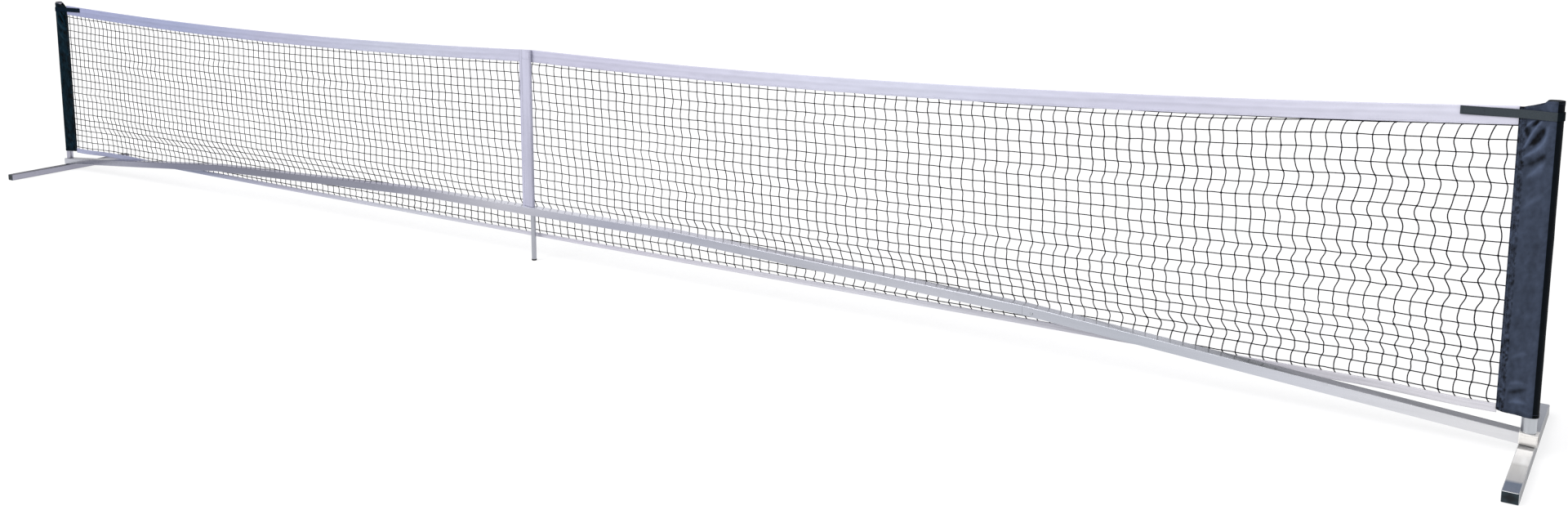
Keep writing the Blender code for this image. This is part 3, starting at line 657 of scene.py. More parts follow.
# The border cord along the top tape's lower edge: out of the fold in some stretches, inside it in others.
bx = np.linspace(-HALF - 0.004, HALF + 0.004, 1100)
hide = along_x(bx, [(-HALF, -1.0), (-3.1, 0.6), (-2.2, 1.0), (-0.5, 0.8), (0.0, 0.4), (1.2, 0.5), (1.84, 0.4), (1.92, -0.9), (2.2, -0.8), (2.30, 0.2), (2.44, -0.9), (HALF, -1.0)])
hide = hide + 0.9 * noise(bx * 3.2, 0.5, 61) * along_x(bx, [(-HALF, 1.0), (1.7, 1.0), (1.9, 0.1), (HALF, 0.0)])
bz = tape_top(bx) - TAPE_H + 0.0018 + 0.0026 * np.clip(hide, -1.0, 1.0) - 0.0006
by = net_y(bx, bz)
v, f = tubes(np.stack([bx, by, bz], axis=-1)[None], 0.0013 + 0.0004 * smooth((bx[None] - 3.05) / 0.1), sides=7)
add_mesh("net_border_cord", v, f, m_cord, slot="net_cord")

# ---------------------------------------------------------------- the top tape
def tape_mid_y(x):
    return 0.012 * (1.0 - np.abs(x) / HALF)


def folded_tape(x, z_edge, z_fold, half_t, cloth_t, seed, ripple):
    """A tape folded over: front leg, round fold, back leg. Returns outer and inner point grids."""
    n = 13
    height = z_fold - z_edge
    sign = np.sign(height[0])
    s = np.linspace(0.0, 1.0, n)
    arc = np.linspace(0.0, math.pi, 9)[1:-1]
    X = x[:, None]
    outer, inner = [], []
    puck = noise(X * 95.0, s[None] * 2.0, seed) * 0.00022 + noise(X * 34.0, s[None] * 1.5 + 4.0, seed + 1) * 0.0003
    wave_f = ripple * fractal(X * 4.5, s[None] * 1.2, seed + 2, 3)
    near_edge = np.exp(-(s[None] / 0.14) ** 2)
    tuck = smooth((HALF + 0.0012 - np.abs(X)) / 0.0030)
    half_t, cloth_t = 0.0010 + (half_t - 0.0010) * tuck, 0.0006 + (cloth_t - 0.0006) * tuck
    band = -0.00045 * np.exp(-((s[None] - 0.52 - 0.03 * noise(X * 3.0, 0.5, seed + 5)) / 0.05) ** 2) + 0.0003 * np.exp(-((s[None] - 0.62) / 0.05) ** 2)
    stitch = -0.0004 * np.exp(-((s[None] - 0.11) / 0.035) ** 2) * (0.7 + 0.3 * np.sin(X * 2 * math.pi / 0.0044))
    edge_wave = 0.0007 * fractal(X * 16.0, 0.5 + 0 * s[None], seed + 7, 2) * (1 - s[None])
    for side in (-1.0, 1.0):
        d = (puck * (0.4 + near_edge) + band + stitch)
        yy = side * (half_t + d) + wave_f
        zz = z_edge[:, None] + (height[:, None] - sign * half_t) * s[None] + edge_wave
        o = np.stack([X + 0 * s[None], yy, zz], axis=-1)
        i = np.stack([X + 0 * s[None], yy - side * cloth_t, zz], axis=-1)
        outer.append(o if side < 0 else o[:, ::-1])
        inner.append(i if side < 0 else i[:, ::-1])
    wtop = wave_f[:, -1:]
    def bend(r):
        return np.stack([X + 0 * arc[None], -np.cos(arc)[None] * r + wtop, (z_fold[:, None] - sign * half_t) + sign * np.sin(arc)[None] * r], axis=-1)
    o = np.concatenate([outer[0], bend(half_t), outer[1]], axis=1)
    i = np.concatenate([inner[0], bend(half_t - cloth_t), inner[1]], axis=1)
    # Bands along the tape, each wandering a little: painted shade in the crease at mid height with a painted highlight
    # above it, a lighter and a darker band by the doubled hem, mottling, and a painted highlight along the rounded
    # fold.
    wander = 0.05 * noise(X * 2.3, 0.5, seed + 11)
    tone = -0.085 * np.exp(-((s[None] - 0.50 - wander) / 0.13) ** 2) + 0.05 * np.exp(-((s[None] - 0.70 - wander) / 0.09) ** 2)
    tone = tone + 0.055 * np.exp(-((s[None] - 0.10) / 0.07) ** 2) - 0.07 * np.exp(-((s[None] - 0.20 + 0.3 * wander) / 0.035) ** 2)
    tone = tone + 0.045 * noise(X * 7.0, s[None] * 9.0, seed + 12) + 0.035 * noise(X * 28.0, s[None] * 5.0, seed + 13)
    tone = np.concatenate([tone, 0.06 + 0.0 * (X + arc[None]), tone[:, ::-1]], axis=1)
    return o, i, np.concatenate([tone.ravel(), tone.ravel()])


def stitches(path, length, radius, sides=5, bow=0.00012, normal=(0, -1, 0)):
    """Short rounded thread ends along pairs of points (n, 2, 3)."""
    a, b = path[:, 0], path[:, 1]
    t = np.linspace(0, 1, 4)[None, :, None]
    line = a[:, None] * (1 - t) + b[:, None] * t + np.asarray(normal)[None, None] * bow * np.sin(t * math.pi)
    r = radius * np.array([0.55, 1.0, 1.0, 0.55])[None]
    return tubes(line, np.broadcast_to(r, (len(a), 4)), sides=sides, ref=(0.02, 1.0, 0.01))


tx = np.concatenate([[-HALF - 0.0022, -HALF - 0.0012], np.linspace(-HALF + 0.0002, HALF - 0.0002, 1001), [HALF + 0.0012, HALF + 0.0022]])
TOP_HALF_T = 0.0029
o, i, tone = folded_tape(tx, tape_top(tx) - TAPE_H, tape_top(tx), TOP_HALF_T, 0.0009, 101, 0.0007)
mid = tape_mid_y(tx)[:, None]
o[..., 1] += mid
i[..., 1] += mid
v, f = thick_sheet(o, i)
top_tape = fix_normals(add_mesh("top_tape_cloth", v, f, m_tape, slot="white_tape", shade=tone))
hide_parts("top_tape")

soup = Soup()
sx = np.arange(-HALF + 0.006, HALF - 0.006, 0.0044)
for side in (-1.0, 1.0):
    zz = tape_top(sx) - TAPE_H + 0.0052
    yy = tape_mid_y(sx) + side * (TOP_HALF_T + 0.00005)
    pair = np.stack([np.stack([sx, yy, zz], -1), np.stack([sx + 0.0031, yy, zz], -1)], axis=1)
    soup.add(*stitches(pair, 0.0031, 0.00032, normal=(0, side, 0)))
top_seam = soup.mesh("top_tape_stitching", m_thread, slot="white_tape")

# ---------------------------------------------------------------- the bottom tape
hx = np.concatenate([[-HALF - 0.0022, -HALF - 0.0012], np.linspace(-HALF + 0.0002, HALF - 0.0002, 801), [HALF + 0.0012, HALF + 0.0022]])
BOT_HALF_T = 0.0024
low_y = 0.0285 * smooth((3.28 - np.abs(hx)) / 0.28)
droop = 0.0009 * fractal(hx * 5.0, 0.5, 131, 3)
o, i, tone = folded_tape(hx, hem_high(hx), hem_low(hx) + droop, BOT_HALF_T, 0.0008, 111, 0.0008)
yc = net_y(hx, (hem_low(hx) + hem_high(hx)) / 2)[:, None]
o[..., 1] += yc
i[..., 1] += yc
v, f = thick_sheet(o, i)
bottom_tape = fix_normals(add_mesh("bottom_tape_cloth", v, f, m_hem, slot="white_tape", shade=tone))
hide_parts("bottom_tape")
soup = Soup()
for side in (-1.0, 1.0):
    zz = hem_high(sx) - 0.0034
    yy = net_y(sx, (hem_low(sx) + hem_high(sx)) / 2) + side * (BOT_HALF_T + 0.00005)
    pair = np.stack([np.stack([sx, yy, zz], -1), np.stack([sx + 0.0031, yy, zz], -1)], axis=1)
    soup.add(*stitches(pair, 0.0031, 0.0003, normal=(0, side, 0)))
bottom_seam = soup.mesh("bottom_tape_stitching", m_thread, slot="white_tape")


# ---------------------------------------------------------------- sleeves
class Loop:
    """The outline of a pocket sewn shut at one side: flat seam, straight panels and a round end about (cx, 0)."""

    def __init__(self, tip, flat, half_t, cx, radius, n_flat, n_panel, n_arc):
        # It is built with the seam at smaller x and mirrored later for the left-hand sleeve.
        bx_, by_ = tip + flat, -half_t
        d, ang = math.hypot(cx - bx_, by_), math.atan2(-by_, cx - bx_)
        beta = math.asin(radius / d) - ang
        a0 = -(math.pi / 2 + beta)
        t = np.array([cx + radius * math.cos(a0), radius * math.sin(a0)])
        pts = [(tip + flat * k / n_flat, -half_t) for k in range(n_flat)]
        pts += [tuple(np.array([bx_, by_]) * (1 - k / n_panel) + t * (k / n_panel)) for k in range(n_panel)]
        pts += [(cx + radius * math.cos(a), radius * math.sin(a)) for a in np.linspace(a0, -a0, n_arc)]
        back = [(x, -y) for x, y in pts[: n_flat + n_panel]][::-1]
        self.p = np.array(pts + back)
        seg = np.linalg.norm(np.diff(self.p, axis=0), axis=1)
        self.s = np.concatenate([[0.0], np.cumsum(seg)])
        t = np.gradient(self.p, axis=0)
        t /= np.linalg.norm(t, axis=1, keepdims=True)
        self.n = np.stack([t[:, 1], -t[:, 0]], axis=1)          # outward
        self.length = self.s[-1]
        self.tangent = flat + math.hypot(*(np.array([bx_, by_]) - self.p[n_flat + n_panel]))


def crease(u, z, a, b, width, height):
    """A ridge with a hollow on each side, from a to b in (u, z), fading at both ends."""
    a, b = np.array(a), np.array(b)
    d = b - a
    ln = math.hypot(*d)
    t = ((u - a[0]) * d[0] + (z - a[1]) * d[1]) / ln ** 2
    off = ((u - a[0]) * -d[1] + (z - a[1]) * d[0]) / ln
    off = off + 0.12 * width * np.sin(t * 5.0)
    q = (off / width) ** 2
    fade = smooth((t + 0.12) / 0.3) * smooth((1.12 - t) / 0.45)
    return height * (1.25 * np.exp(-q) - 0.55 * np.exp(-q / 4.5)) * fade


def fold(u, z, a, b, c, width, height, sharp=1.6):
    """A curved ridge (or a hollow, if height is negative) from a, pulled towards b, to c."""
    a, b, c = np.array(a), np.array(b), np.array(c)
    t = np.linspace(0, 1, 15)[:, None]
    line = a * (1 - t) ** 2 + 2 * b * t * (1 - t) + c * t ** 2
    best = np.full(np.broadcast(u, z).shape, 1.0)
    place = np.zeros_like(best)
    for k in range(14):
        p, q = line[k], line[k + 1]
        e = q - p
        w = np.clip(((u - p[0]) * e[0] + (z - p[1]) * e[1]) / (e @ e), 0.0, 1.0)
        dist = np.hypot(u - p[0] - w * e[0], z - p[1] - w * e[1])
        nearer = dist < best
        best = np.where(nearer, dist, best)
        place = np.where(nearer, (k + w) / 14.0, place)
    body = np.sin(np.clip(place, 0.02, 0.98) * math.pi) ** 0.6
    return height * np.exp(-(best / (width * (0.45 + 0.55 * body))) ** sharp) * (0.25 + 0.75 * body)


def side_sleeve(tag, sgn, z_low, z_seam, edge, strap_low, seed):
    lp = Loop(3.3250, 0.011, 0.0020, POST_X, 0.0200, 6, 30, 30)
    zs_n = 250
    s = lp.s[None, :]
    u = np.minimum(s, lp.length - s)                          # distance from the seam, front or back
    front = (s < lp.length / 2)
    px = lp.p[None, :, 0]
    edge_x, edge_z = zip(*edge)                               # the top edge, from the seam up to the post
    top = np.interp(px, edge_x, edge_z) + 0.0010 * noise(s * 90.0, 0.5, seed + 9)
    low = z_low + 0.0045 * smooth((3.3420 - px) / 0.03) + 0.0008 * noise(s * 120.0, 3.5, seed + 8)
    h = np.linspace(0.0, 1.0, zs_n)[:, None]
    z = low + (top - low) * h
    on_panel = smooth((u - 0.006) / 0.012) * smooth((lp.tangent + 0.004 - u) / 0.014)
    sd = seed + np.where(front, 0, 50)
    d = np.zeros_like(z)
    tone = np.zeros_like(z)
    for side_on, off in ((front, 0), (~front, 50)):
        k = seed + off
        g = 0.0 * z
        f = 0.0016 * fractal(u * 26.0 + 3.0, z * 7.0, k, 3)
        f = f + 0.0010 * fractal((u + 0.6 * z) * 75.0, (z - 0.5 * u) * 28.0, k + 3, 2)
        f = f + 0.0006 * fractal(u * 150.0, z * 60.0, k + 5, 2)
        # Folds that fan down from the strap towards the seam, with painted shade in their hollows and painted
        # highlights on their ridges.
        zt = strap_low
        du, dz, k_ = (0.0, 0.0, 1.0) if not off else (0.004, -0.012, 0.8)
        for a, b, c, w, hgt in (((0.068, zt - 0.020), (0.074, zt - 0.066), (0.016, zt - 0.100), 0.0052, 0.0046),
                                ((0.052, zt - 0.004), (0.034, zt - 0.030), (0.018, zt - 0.076), 0.0040, 0.0042),
                                ((0.058, zt - 0.022), (0.050, zt - 0.050), (0.028, zt - 0.066), 0.0046, -0.0046),
                                ((0.012, zt - 0.012), (0.024, zt - 0.028), (0.022, zt - 0.048), 0.0050, -0.0030),
                                ((0.044, zt - 0.000), (0.038, zt - 0.012), (0.030, zt - 0.018), 0.0032, -0.0028),
                                ((0.036, zt - 0.002), (0.024, zt - 0.012), (0.010, zt - 0.030), 0.0030, 0.0030),
                                ((0.066, zt - 0.088), (0.048, zt - 0.108), (0.016, zt - 0.124), 0.0058, -0.0012),
                                ((0.070, zt - 0.104), (0.052, zt - 0.130), (0.030, zt - 0.150), 0.0060, 0.0024),
                                ((0.030, zt - 0.058), (0.020, zt - 0.074), (0.008, zt - 0.078), 0.0028, 0.0018),
                                ((0.072, zt - 0.190), (0.050, zt - 0.205), (0.022, zt - 0.235), 0.0060, 0.0013),
                                ((0.030, z_low + 0.030), (0.046, z_low + 0.040), (0.068, z_low + 0.036), 0.0050, 0.0020),
                                ((0.026, z_low + 0.056), (0.044, z_low + 0.062), (0.066, z_low + 0.074), 0.0050, -0.0016),
                                ((0.028, z_low + 0.078), (0.046, z_low + 0.092), (0.062, z_low + 0.088), 0.0046, 0.0013),
                                ((0.030, z_low + 0.150), (0.044, z_low + 0.170), (0.060, z_low + 0.166), 0.0050, 0.0010)):
            a, b, c = [(q[0] + du, q[1] + dz) for q in (a, b, c)]
            bulge = fold(u, z, a, b, c, w * 1.2, hgt * k_)
            f = f + bulge * 1.7
            g = g + bulge / 0.0036
        d = np.where(side_on, f, d)
        g = np.where(g < 0, 0.93 * np.tanh(g * 2.8), 1.7 * np.tanh(g * 1.15))
        tone = np.where(side_on, g, tone)
    d = d * on_panel
    tone = tone * on_panel * smooth((lp.tangent + 0.010 - u) / 0.012)
    tone = tone + 0.13 * fractal(u * 30.0 + 2.0, z * 10.0, seed + 61, 3)
    # Fine mottling, strongest near the top and bottom and on the left sleeve: painted shade and highlights of small
    # wrinkles.
    creased = 0.35 + 0.65 * smooth((z - 0.70) / 0.12) + 0.25 * smooth((0.20 - z) / 0.05)
    wrinkle_mottle = 0.8 if sgn > 0 else 3.0
    tone = tone + wrinkle_mottle * (0.25 * fractal(u * 95.0 + 0.7 * noise(z * 14.0, 0.5, seed + 75), z * 34.0, seed + 73, 2) + 0.16 * noise((u - 0.8 * z) * 130.0, (z + u) * 60.0, seed + 77))
    tone = tone + creased * (0.34 * fractal((u + 0.5 * z) * 120.0, (z - 0.4 * u) * 55.0, seed + 65, 3) + 0.12 * noise(u * 420.0, z * 300.0, seed + 69))
    # Along the seam the cloth is painted darker and mottled, the shade of its puckers; the lighter band by the post is
    # a painted highlight.
    seam_band = 1 - smooth((u - 0.0165) / 0.004)
    tone = tone - 0.30 * seam_band + 1.0 * seam_band * fractal(u * 220.0, z * 150.0, seed + 67, 2)
    tone = tone + 0.12 * smooth((u - 0.064) / 0.006) * smooth((lp.tangent + 0.012 - u) / 0.004)
    # Gathers along the seam's stitching.
    gather = 0.0008 * np.sin(z * 2 * math.pi / 0.0090 + 3.0 * noise(z * 30.0, 0.5, seed + 21) + u * 160.0) * np.exp(-((u - 0.012) / 0.006) ** 2)
    gather = gather + 0.0011 * fractal(u * 110, z * 95.0, seed + 23, 2) * np.exp(-((u - 0.008) / 0.009) ** 2)
    d = d + gather
    round_part = smooth((u - lp.tangent + 0.004) / 0.006)
    d = d + round_part * 0.00045 * fractal(u * 60.0, z * 12.0, seed + 31, 2)
    d = np.where(round_part > 0.4, np.clip(d, -0.0008, 0.0016), d)
    near = 0.0020 + 0.16 * np.maximum(u - 0.011, 0.0)
    d = np.maximum(d, -0.55 * near)
    d = np.where(u > lp.tangent - 0.020, np.maximum(d, -0.0014), d)
    # Under the strap the cloth is pressed flat.
    band = smooth((z - strap_low + 0.004) / 0.004) * smooth((strap_low + 0.030 - z) / 0.004)
    d = d * (1 - band) + np.clip(d, -0.0010, 0.0000) * band
    # Doubled cloth at the top and bottom hems, and the edge binding at the seam.
    hem = smooth((z - top + 0.012) / 0.0012) + smooth((low + 0.011 - z) / 0.0012)
    d = d + 0.00045 * np.clip(hem, 0, 1) * (1 - band)
    tone = tone - 0.30 * smooth((low + 0.0105 - z) / 0.001) * (1 + 0.3 * noise(s * 300.0, z * 200.0, seed + 71))
    tone = np.clip(tone, -0.94, 1.9)
    bind = 0.0004 * (1 - smooth((u - 0.0065) / 0.001))
    d = d + bind
    X = lp.p[None, :, 0] + lp.n[None, :, 0] * d
    Y = lp.p[None, :, 1] + lp.n[None, :, 1] * d
    t = 0.0007
    Xi, Yi = X - lp.n[None, :, 0] * t, Y - lp.n[None, :, 1] * t
    outer = np.stack([sgn * X, Y, z + 0 * X], axis=-1)
    inner = np.stack([sgn * Xi, Yi, z + 0 * X], axis=-1)
    v, f = thick_sheet(outer, inner)
    ob = fix_normals(add_mesh("side_sleeve_%s_cloth" % tag, v, f, m_sleeve if sgn > 0 else m_sleeve_left_painted_shade, slot="dark_nylon",
                             shade=np.concatenate([tone.ravel(), tone.ravel()])))
    # Faces round the far side of the post take the painted shade copy.
    ob.data.materials.append(m_sleeve_side_painted_shade)
    shaded_side_faces = [p.index for p in ob.data.polygons if abs(p.center.x) > 3.4070]
    index = np.zeros(len(ob.data.polygons), np.int32)
    index[shaded_side_faces] = 1
    ob.data.polygons.foreach_set("material_index", index)
    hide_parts("side_sleeve_" + tag)

    # Stitching: a zigzag and a straight row by the seam, front and back, and one row at each hem.
    def surface(uu, zz, back=False, lift=0.0002):
        """A point on the sleeve at distance uu from the seam."""
        uu, zz = np.asarray(uu, float), np.asarray(zz, float)
        sq = uu if not back else lp.length - uu
        hh = (zz[..., None] - low[0][None]) / (top[0] - low[0])[None]
        x = np.interp(sq, lp.s, lp.p[:, 0])
        ny_ = np.interp(sq, lp.s, lp.n[:, 1])
        nx_ = np.interp(sq, lp.s, lp.n[:, 0])
        col = np.clip(np.searchsorted(lp.s, sq), 1, len(lp.s) - 1)
        c0 = col - 1
        w = (sq - lp.s[c0]) / (lp.s[col] - lp.s[c0])
        def at(c):
            hgt = (zz - low[0][c]) / (top[0][c] - low[0][c])
            r = np.clip(hgt * (zs_n - 1), 0, zs_n - 1.001)
            i0 = r.astype(int)
            fr = r - i0
            return d[i0, c] * (1 - fr) + d[np.minimum(i0 + 1, zs_n - 1), c] * fr
        dd = at(c0) * (1 - w) + at(col) * w + lift
        y = np.interp(sq, lp.s, lp.p[:, 1])
        return np.stack([sgn * (x + nx_ * dd), y + ny_ * dd, zz], axis=-1)

    soup = Soup()
    for back in (False, True):
        nrm = (0, 1.0 if back else -1.0, 0)
        z0, z1 = z_low + 0.010, z_seam - 0.004
        zz = np.arange(z0, z1, 0.0034)
        a = surface(np.full(len(zz), 0.0040), zz, back)
        b = surface(np.full(len(zz), 0.0066), zz + 0.0017, back)
        c = surface(np.full(len(zz), 0.0040), zz + 0.0034, back)
        soup.add(*stitches(np.stack([a, b], axis=1), 0, 0.00034, normal=nrm))
        soup.add(*stitches(np.stack([b, c], axis=1), 0, 0.00034, normal=nrm))
        zz = np.arange(z0, z1, 0.0036)
        a = surface(np.full(len(zz), 0.0100), zz, back)
        b = surface(np.full(len(zz), 0.0100), zz + 0.0025, back)
        soup.add(*stitches(np.stack([a, b], axis=1), 0, 0.00032, normal=nrm))
    # The left sleeve's stitching takes the dark thread as painted shade.
    seam = soup.mesh("side_sleeve_%s_stitching" % tag, m_navy_thread if sgn > 0 else m_dark_thread, slot="dark_nylon")
    soup = Soup()
    for from_top in (False, True):
        sq = np.arange(0.014, lp.length - 0.016, 0.0036)
        def ring(q):
            back = q > lp.length / 2
            uu = np.where(back, lp.length - q, q)
            zq = np.interp(q, lp.s, top[0]) - 0.0045 if from_top else np.interp(q, lp.s, low[0]) + 0.0095
            front_p = surface(uu, zq, False)
            back_p = surface(uu, zq, True)
            return np.where(back[:, None], back_p, front_p)
        soup.add(*stitches(np.stack([ring(sq), ring(sq + 0.0026)], axis=1), 0, 0.0003, normal=(0, 0, 0)))
    # The left sleeve's hem stitching takes the dark thread as painted shade.
    hem_seam = soup.mesh("side_sleeve_%s_hem_stitching" % tag, m_navy_thread if sgn > 0 else m_dark_thread, slot="dark_nylon")
    return ob


side_sleeve("right", 1.0, 0.1070, 0.9150, [(3.325, 0.9150), (3.340, 0.9165), (3.377, 0.9268), (3.380, 0.9300), (3.384, 0.9350), (3.390, 0.9358)], 0.8860, 200)
side_sleeve("left", -1.0, 0.1070, 0.9115, [(3.325, 0.9115), (3.336, 0.9122), (3.384, 0.9285), (3.390, 0.9298)], 0.8840, 300)

# The centre sleeve: a sewn pocket with a stitched flange to its left.
lp = Loop(0.0, 0.0140, 0.00105, 0.0535, 0.0080, 8, 18, 22)
n_z = 190
z_lo, z_hi = 0.2231, 0.8653
s = lp.s[None, :]
u = np.minimum(s, lp.length - s)
h = np.linspace(0, 1, n_z)[:, None]
top_line = z_hi + 0.0 * s
z = z_lo + (top_line - z_lo) * h
d = 0.00028 * fractal(u * 60.0, z * 14.0, 400, 3) * smooth((u - 0.012) / 0.006)
d = d + 0.00016 * np.sin(z * 2 * math.pi / 0.0075 + 2.0 * noise(z * 22.0, 0.5, 403)) * np.exp(-((u - 0.0120) / 0.0035) ** 2)
for a, b, w, hgt in (((0.026, 0.595), (0.034, 0.578), 0.0018, 0.0013), ((0.024, 0.566), (0.034, 0.556), 0.0016, 0.0012),
                     ((0.028, 0.520), (0.038, 0.506), 0.0018, 0.0012), ((0.022, 0.486), (0.034, 0.474), 0.0018, 0.0011),
                     ((0.026, 0.430), (0.036, 0.436), 0.0018, 0.0009), ((0.024, 0.800), (0.036, 0.786), 0.0018, 0.0009)):
    d = d + crease(u, z, a, b, w, hgt)
d = np.clip(d, -0.0004, 0.0012)
d = d + 0.00030 * (smooth((z - z_hi + 0.030) / 0.0012) + smooth((z_lo + 0.010 - z) / 0.0012))
X = lp.p[None, :, 0] + lp.n[None, :, 0] * d - 0.0535
Y = lp.p[None, :, 1] + lp.n[None, :, 1] * d
t = 0.0007
outer = np.stack([X, Y, z + 0 * X], axis=-1)
inner = np.stack([X - lp.n[None, :, 0] * t, Y - lp.n[None, :, 1] * t, z + 0 * X], axis=-1)
v, f = thick_sheet(outer, inner)
# Painted shade in the groove between flange and pocket and over the pocket's lower part, a painted highlight on the
# pocket's left side and on its crease ridges, and mottling.
tone = -0.01 - 0.20 * np.exp(-((u - 0.0135) / 0.0016) ** 2) - smooth((u - 0.016) / 0.006) * (0.02 + 0.15 * smooth((0.72 - z) / 0.30))
tone = tone + 0.05 * np.exp(-((u - 0.030) / 0.006) ** 2) + 0.06 * fractal(u * 70.0, z * 12.0, 421, 3) + np.clip(d / 0.0012, 0, 1) * 0.16 * smooth((u - 0.016) / 0.004)
tone = tone + 0.0 * z
centre = fix_normals(add_mesh("center_sleeve_cloth", v, f, m_tape, slot="white_tape", shade=np.concatenate([tone.ravel(), tone.ravel()])))
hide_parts("center_sleeve")
soup = Soup()


def centre_at(xx, zz, lift=0.0003):
    uu = np.asarray(xx, float) + 0.0535
    y = np.interp(uu, lp.p[: len(lp.p) // 2, 0], lp.p[: len(lp.p) // 2, 1])
    return np.stack([xx + 0 * uu, y - lift, zz + 0 * uu], axis=-1)


for col, gap, ln in ((-0.0505, 0.0036, 0.0026), (-0.0415, 0.0036, 0.0026)):
    zz = np.arange(z_lo + 0.004, z_hi - 0.004, gap)
    a, b = centre_at(np.full(len(zz), col), zz), centre_at(np.full(len(zz), col), zz + ln)
    soup.add(*stitches(np.stack([a, b], axis=1), ln, 0.0003))
    for q in (a, b):
        q[:, 1] *= -1
    soup.add(*stitches(np.stack([a, b], axis=1), ln, 0.0003, normal=(0, 1, 0)))
white_seam = soup.mesh("center_sleeve_stitching", m_thread, slot="white_tape")
soup = Soup()
box_x, box_z = (-0.036, 0.004), (0.8290, 0.8600)
for zz in box_z:
    xx = np.arange(box_x[0], box_x[1] - 0.002, 0.0034)
    soup.add(*stitches(np.stack([centre_at(xx, np.full(len(xx), zz)), centre_at(xx + 0.0024, np.full(len(xx), zz))], axis=1), 0, 0.0003))
for xx in box_x:
    zz = np.arange(box_z[0], box_z[1] - 0.002, 0.0034)
    soup.add(*stitches(np.stack([centre_at(np.full(len(zz), xx), zz), centre_at(np.full(len(zz), xx), zz + 0.0024)], axis=1), 0, 0.0003))
box_seam = soup.mesh("center_sleeve_box_stitching", m_pale_thread, slot="white_tape")


# ---------------------------------------------------------------- straps
def strap(tag, sgn, z_low, seed):
    gap, t, r_in, height = 0.0044, 0.0016, 0.0209, 0.0226
    r_mid = r_in + t / 2
    y0 = gap + t / 2
    bx_ = 3.3260
    dd, ang = math.hypot(POST_X - bx_, y0), math.atan2(y0, POST_X - bx_)
    beta = math.asin(r_mid / dd) - ang
    a0 = -(math.pi / 2 + beta)
    tp = (POST_X + r_mid * math.cos(a0), r_mid * math.sin(a0))
    front = [(3.1965 + (bx_ - 3.1965) * k / 70, -y0) for k in range(70)]
    front += [(bx_ + (tp[0] - bx_) * k / 40, -y0 + (tp[1] + y0) * k / 40) for k in range(40)]
    arc = [(POST_X + r_mid * math.cos(a), r_mid * math.sin(a)) for a in np.linspace(a0, -a0, 46)]
    path = np.array(front + arc + [(x, -y) for x, y in front[::-1]])
    # soften the bend at the seam
    soft = path.copy()
    for _ in range(6):
        soft[1:-1] = (soft[:-2] + 2 * soft[1:-1] + soft[2:]) / 4
    path = soft
    tan = np.gradient(path, axis=0)
    tan /= np.linalg.norm(tan, axis=1, keepdims=True)
    nor = np.stack([tan[:, 1], -tan[:, 0]], axis=1)
    along = np.concatenate([[0], np.cumsum(np.linalg.norm(np.diff(path, axis=0), axis=1))])
    m = 25
    q = np.linspace(-1, 1, m)
    ribs = 0.00010 * np.cos(q * math.pi * 8.0)[None]
    fl = np.sqrt(np.clip(1 - np.clip((np.abs(q) - 0.955) / 0.045, 0, 1) ** 2, 0.02, 1))
    S = along[:, None]
    slubs = 0.00012 * noise(S * 700.0, q[None] * 9.0, seed) + 0.00009 * noise(S * 1500.0, q[None] * 14.0, seed + 1)
    half = (t / 2) * fl[None] + ribs * fl[None]
    wander = 0.0006 * noise(S * 18.0, 0.5, seed + 2) * smooth(S / 0.02) * smooth((along[-1] - S) / 0.02)
    zz = z_low + height / 2 + q[None] * height / 2 + wander
    def off(k):
        x = path[:, 0][:, None] + nor[:, 0][:, None] * k
        y = path[:, 1][:, None] + nor[:, 1][:, None] * k
        return np.stack([sgn * x, y, zz + 0 * x], axis=-1)
    outer, inner = off(half + slubs * fl[None]), off(-half)
    v, f = thick_sheet(outer.transpose(0, 1, 2), inner)
    ob = fix_normals(add_mesh("strap_%s_webbing" % tag, v, f, m_strap if sgn > 0 else m_strap_left_painted_shade, slot="webbing"))
    ob.data.materials.append(m_strap_side)
    index = np.array([int(abs(p.center.x) > 3.4070) for p in ob.data.polygons], np.int32)
    ob.data.polygons.foreach_set("material_index", index)
    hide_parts("strap_" + tag)
    soup = Soup()
    for side_ in (-1.0, 1.0):
        y = side_ * (y0 + t / 2 + 0.0002)
        for xx in (3.2020, 3.2500):
            z1 = np.arange(z_low + 0.0022, z_low + height - 0.004, 0.0030)
            a = np.stack([np.full(len(z1), sgn * xx), np.full(len(z1), y), z1], -1)
            b = a + np.array([0, 0, 0.0022])
            soup.add(*stitches(np.stack([a, b], 1), 0, 0.00036, normal=(0, side_, 0)))
        for zz_ in (z_low + 0.0030, z_low + height - 0.0030):
            x1 = np.arange(3.2020, 3.2480, 0.0032)
            a = np.stack([sgn * x1, np.full(len(x1), y), np.full(len(x1), zz_)], -1)
            b = a + np.array([sgn * 0.0023, 0, 0])
            soup.add(*stitches(np.stack([a, b], 1), 0, 0.00036, normal=(0, side_, 0)))
    seam = soup.mesh("strap_%s_stitching" % tag, m_dark_thread, slot="webbing")


strap("right", 1.0, 0.8861, 500)
strap("left", -1.0, 0.8841, 520)

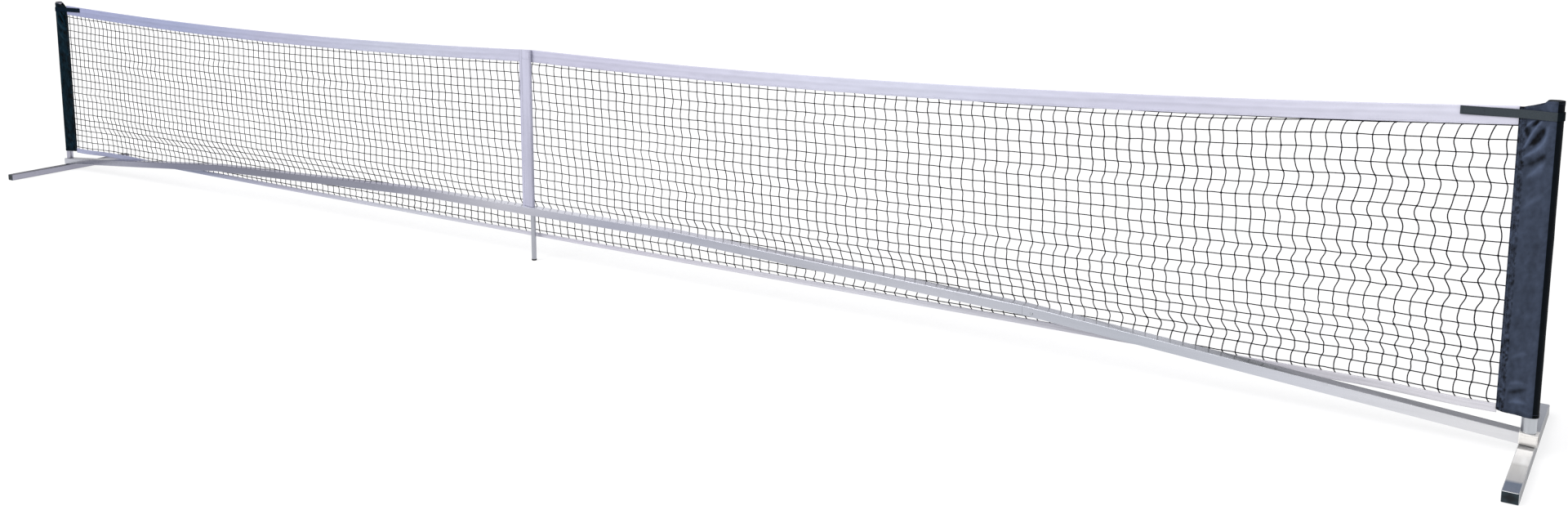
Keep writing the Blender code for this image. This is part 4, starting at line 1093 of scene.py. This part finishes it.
# ---------------------------------------------------------------- floor, world and lights
floor_m, nt, b = material("floor")
g = noise_node(nt, coords(nt), 0.6, 3.0, 0.5)
nt.links.new(ramp(nt, g, [(0.3, (0.315, 0.315, 0.317)), (0.7, (0.325, 0.325, 0.327))]), b.inputs["Base Color"])
b.inputs["Emission Color"].default_value = (1.0, 1.0, 1.0, 1.0)
b.inputs["Emission Strength"].default_value = 0.70
b.inputs["Roughness"].default_value = 0.9
b.inputs["Specular IOR Level"].default_value = 0.1
me = bpy.data.meshes.new("floor")
R_FLOOR = 90.0
me.from_pydata([(-R_FLOOR, -R_FLOOR, -0.0006), (R_FLOOR, -R_FLOOR, -0.0006), (R_FLOOR, R_FLOOR, -0.0006), (-R_FLOOR, R_FLOOR, -0.0006)], [], [(0, 1, 2, 3)])
me.materials.append(floor_m)
floor = bpy.data.objects.new("floor", me)
bpy.context.scene.collection.objects.link(floor)

world = bpy.data.worlds.new("studio")
bpy.context.scene.world = world
world.use_nodes = True
nt = world.node_tree
nt.nodes.clear()
wo = nt.nodes.new("ShaderNodeOutputWorld")
bg = nt.nodes.new("ShaderNodeBackground")
nt.links.new(bg.outputs[0], wo.inputs[0])
tc = nt.nodes.new("ShaderNodeTexCoord")
sep = nt.nodes.new("ShaderNodeSeparateXYZ")
nt.links.new(tc.outputs["Generated"], sep.inputs[0])
# A pale sweep low down, a dim studio above it and a large soft ceiling.
sky = ramp(nt, sep.outputs["Z"], [(0.0, (0.84, 0.84, 0.85)), (0.285, (0.82, 0.82, 0.84)), (0.318, (0.30, 0.30, 0.33)),
                                  (0.50, (0.32, 0.32, 0.35)), (0.64, (0.86, 0.86, 0.88)), (1.0, (0.90, 0.90, 0.91))])
nt.links.new(sky, bg.inputs["Color"])
bg.inputs["Strength"].default_value = 1.0

sun_data = bpy.data.lights.new("soft_key", "SUN")
sun_data.energy = 2.2
sun_data.angle = math.radians(48.0)
sun_data.color = (1.0, 0.99, 0.975)
sun = bpy.data.objects.new("soft_key", sun_data)
bpy.context.scene.collection.objects.link(sun)
sun.rotation_mode = "QUATERNION"
sun.rotation_quaternion = Vector((0.36, 0.72, -0.72)).to_track_quat("-Z", "Y")
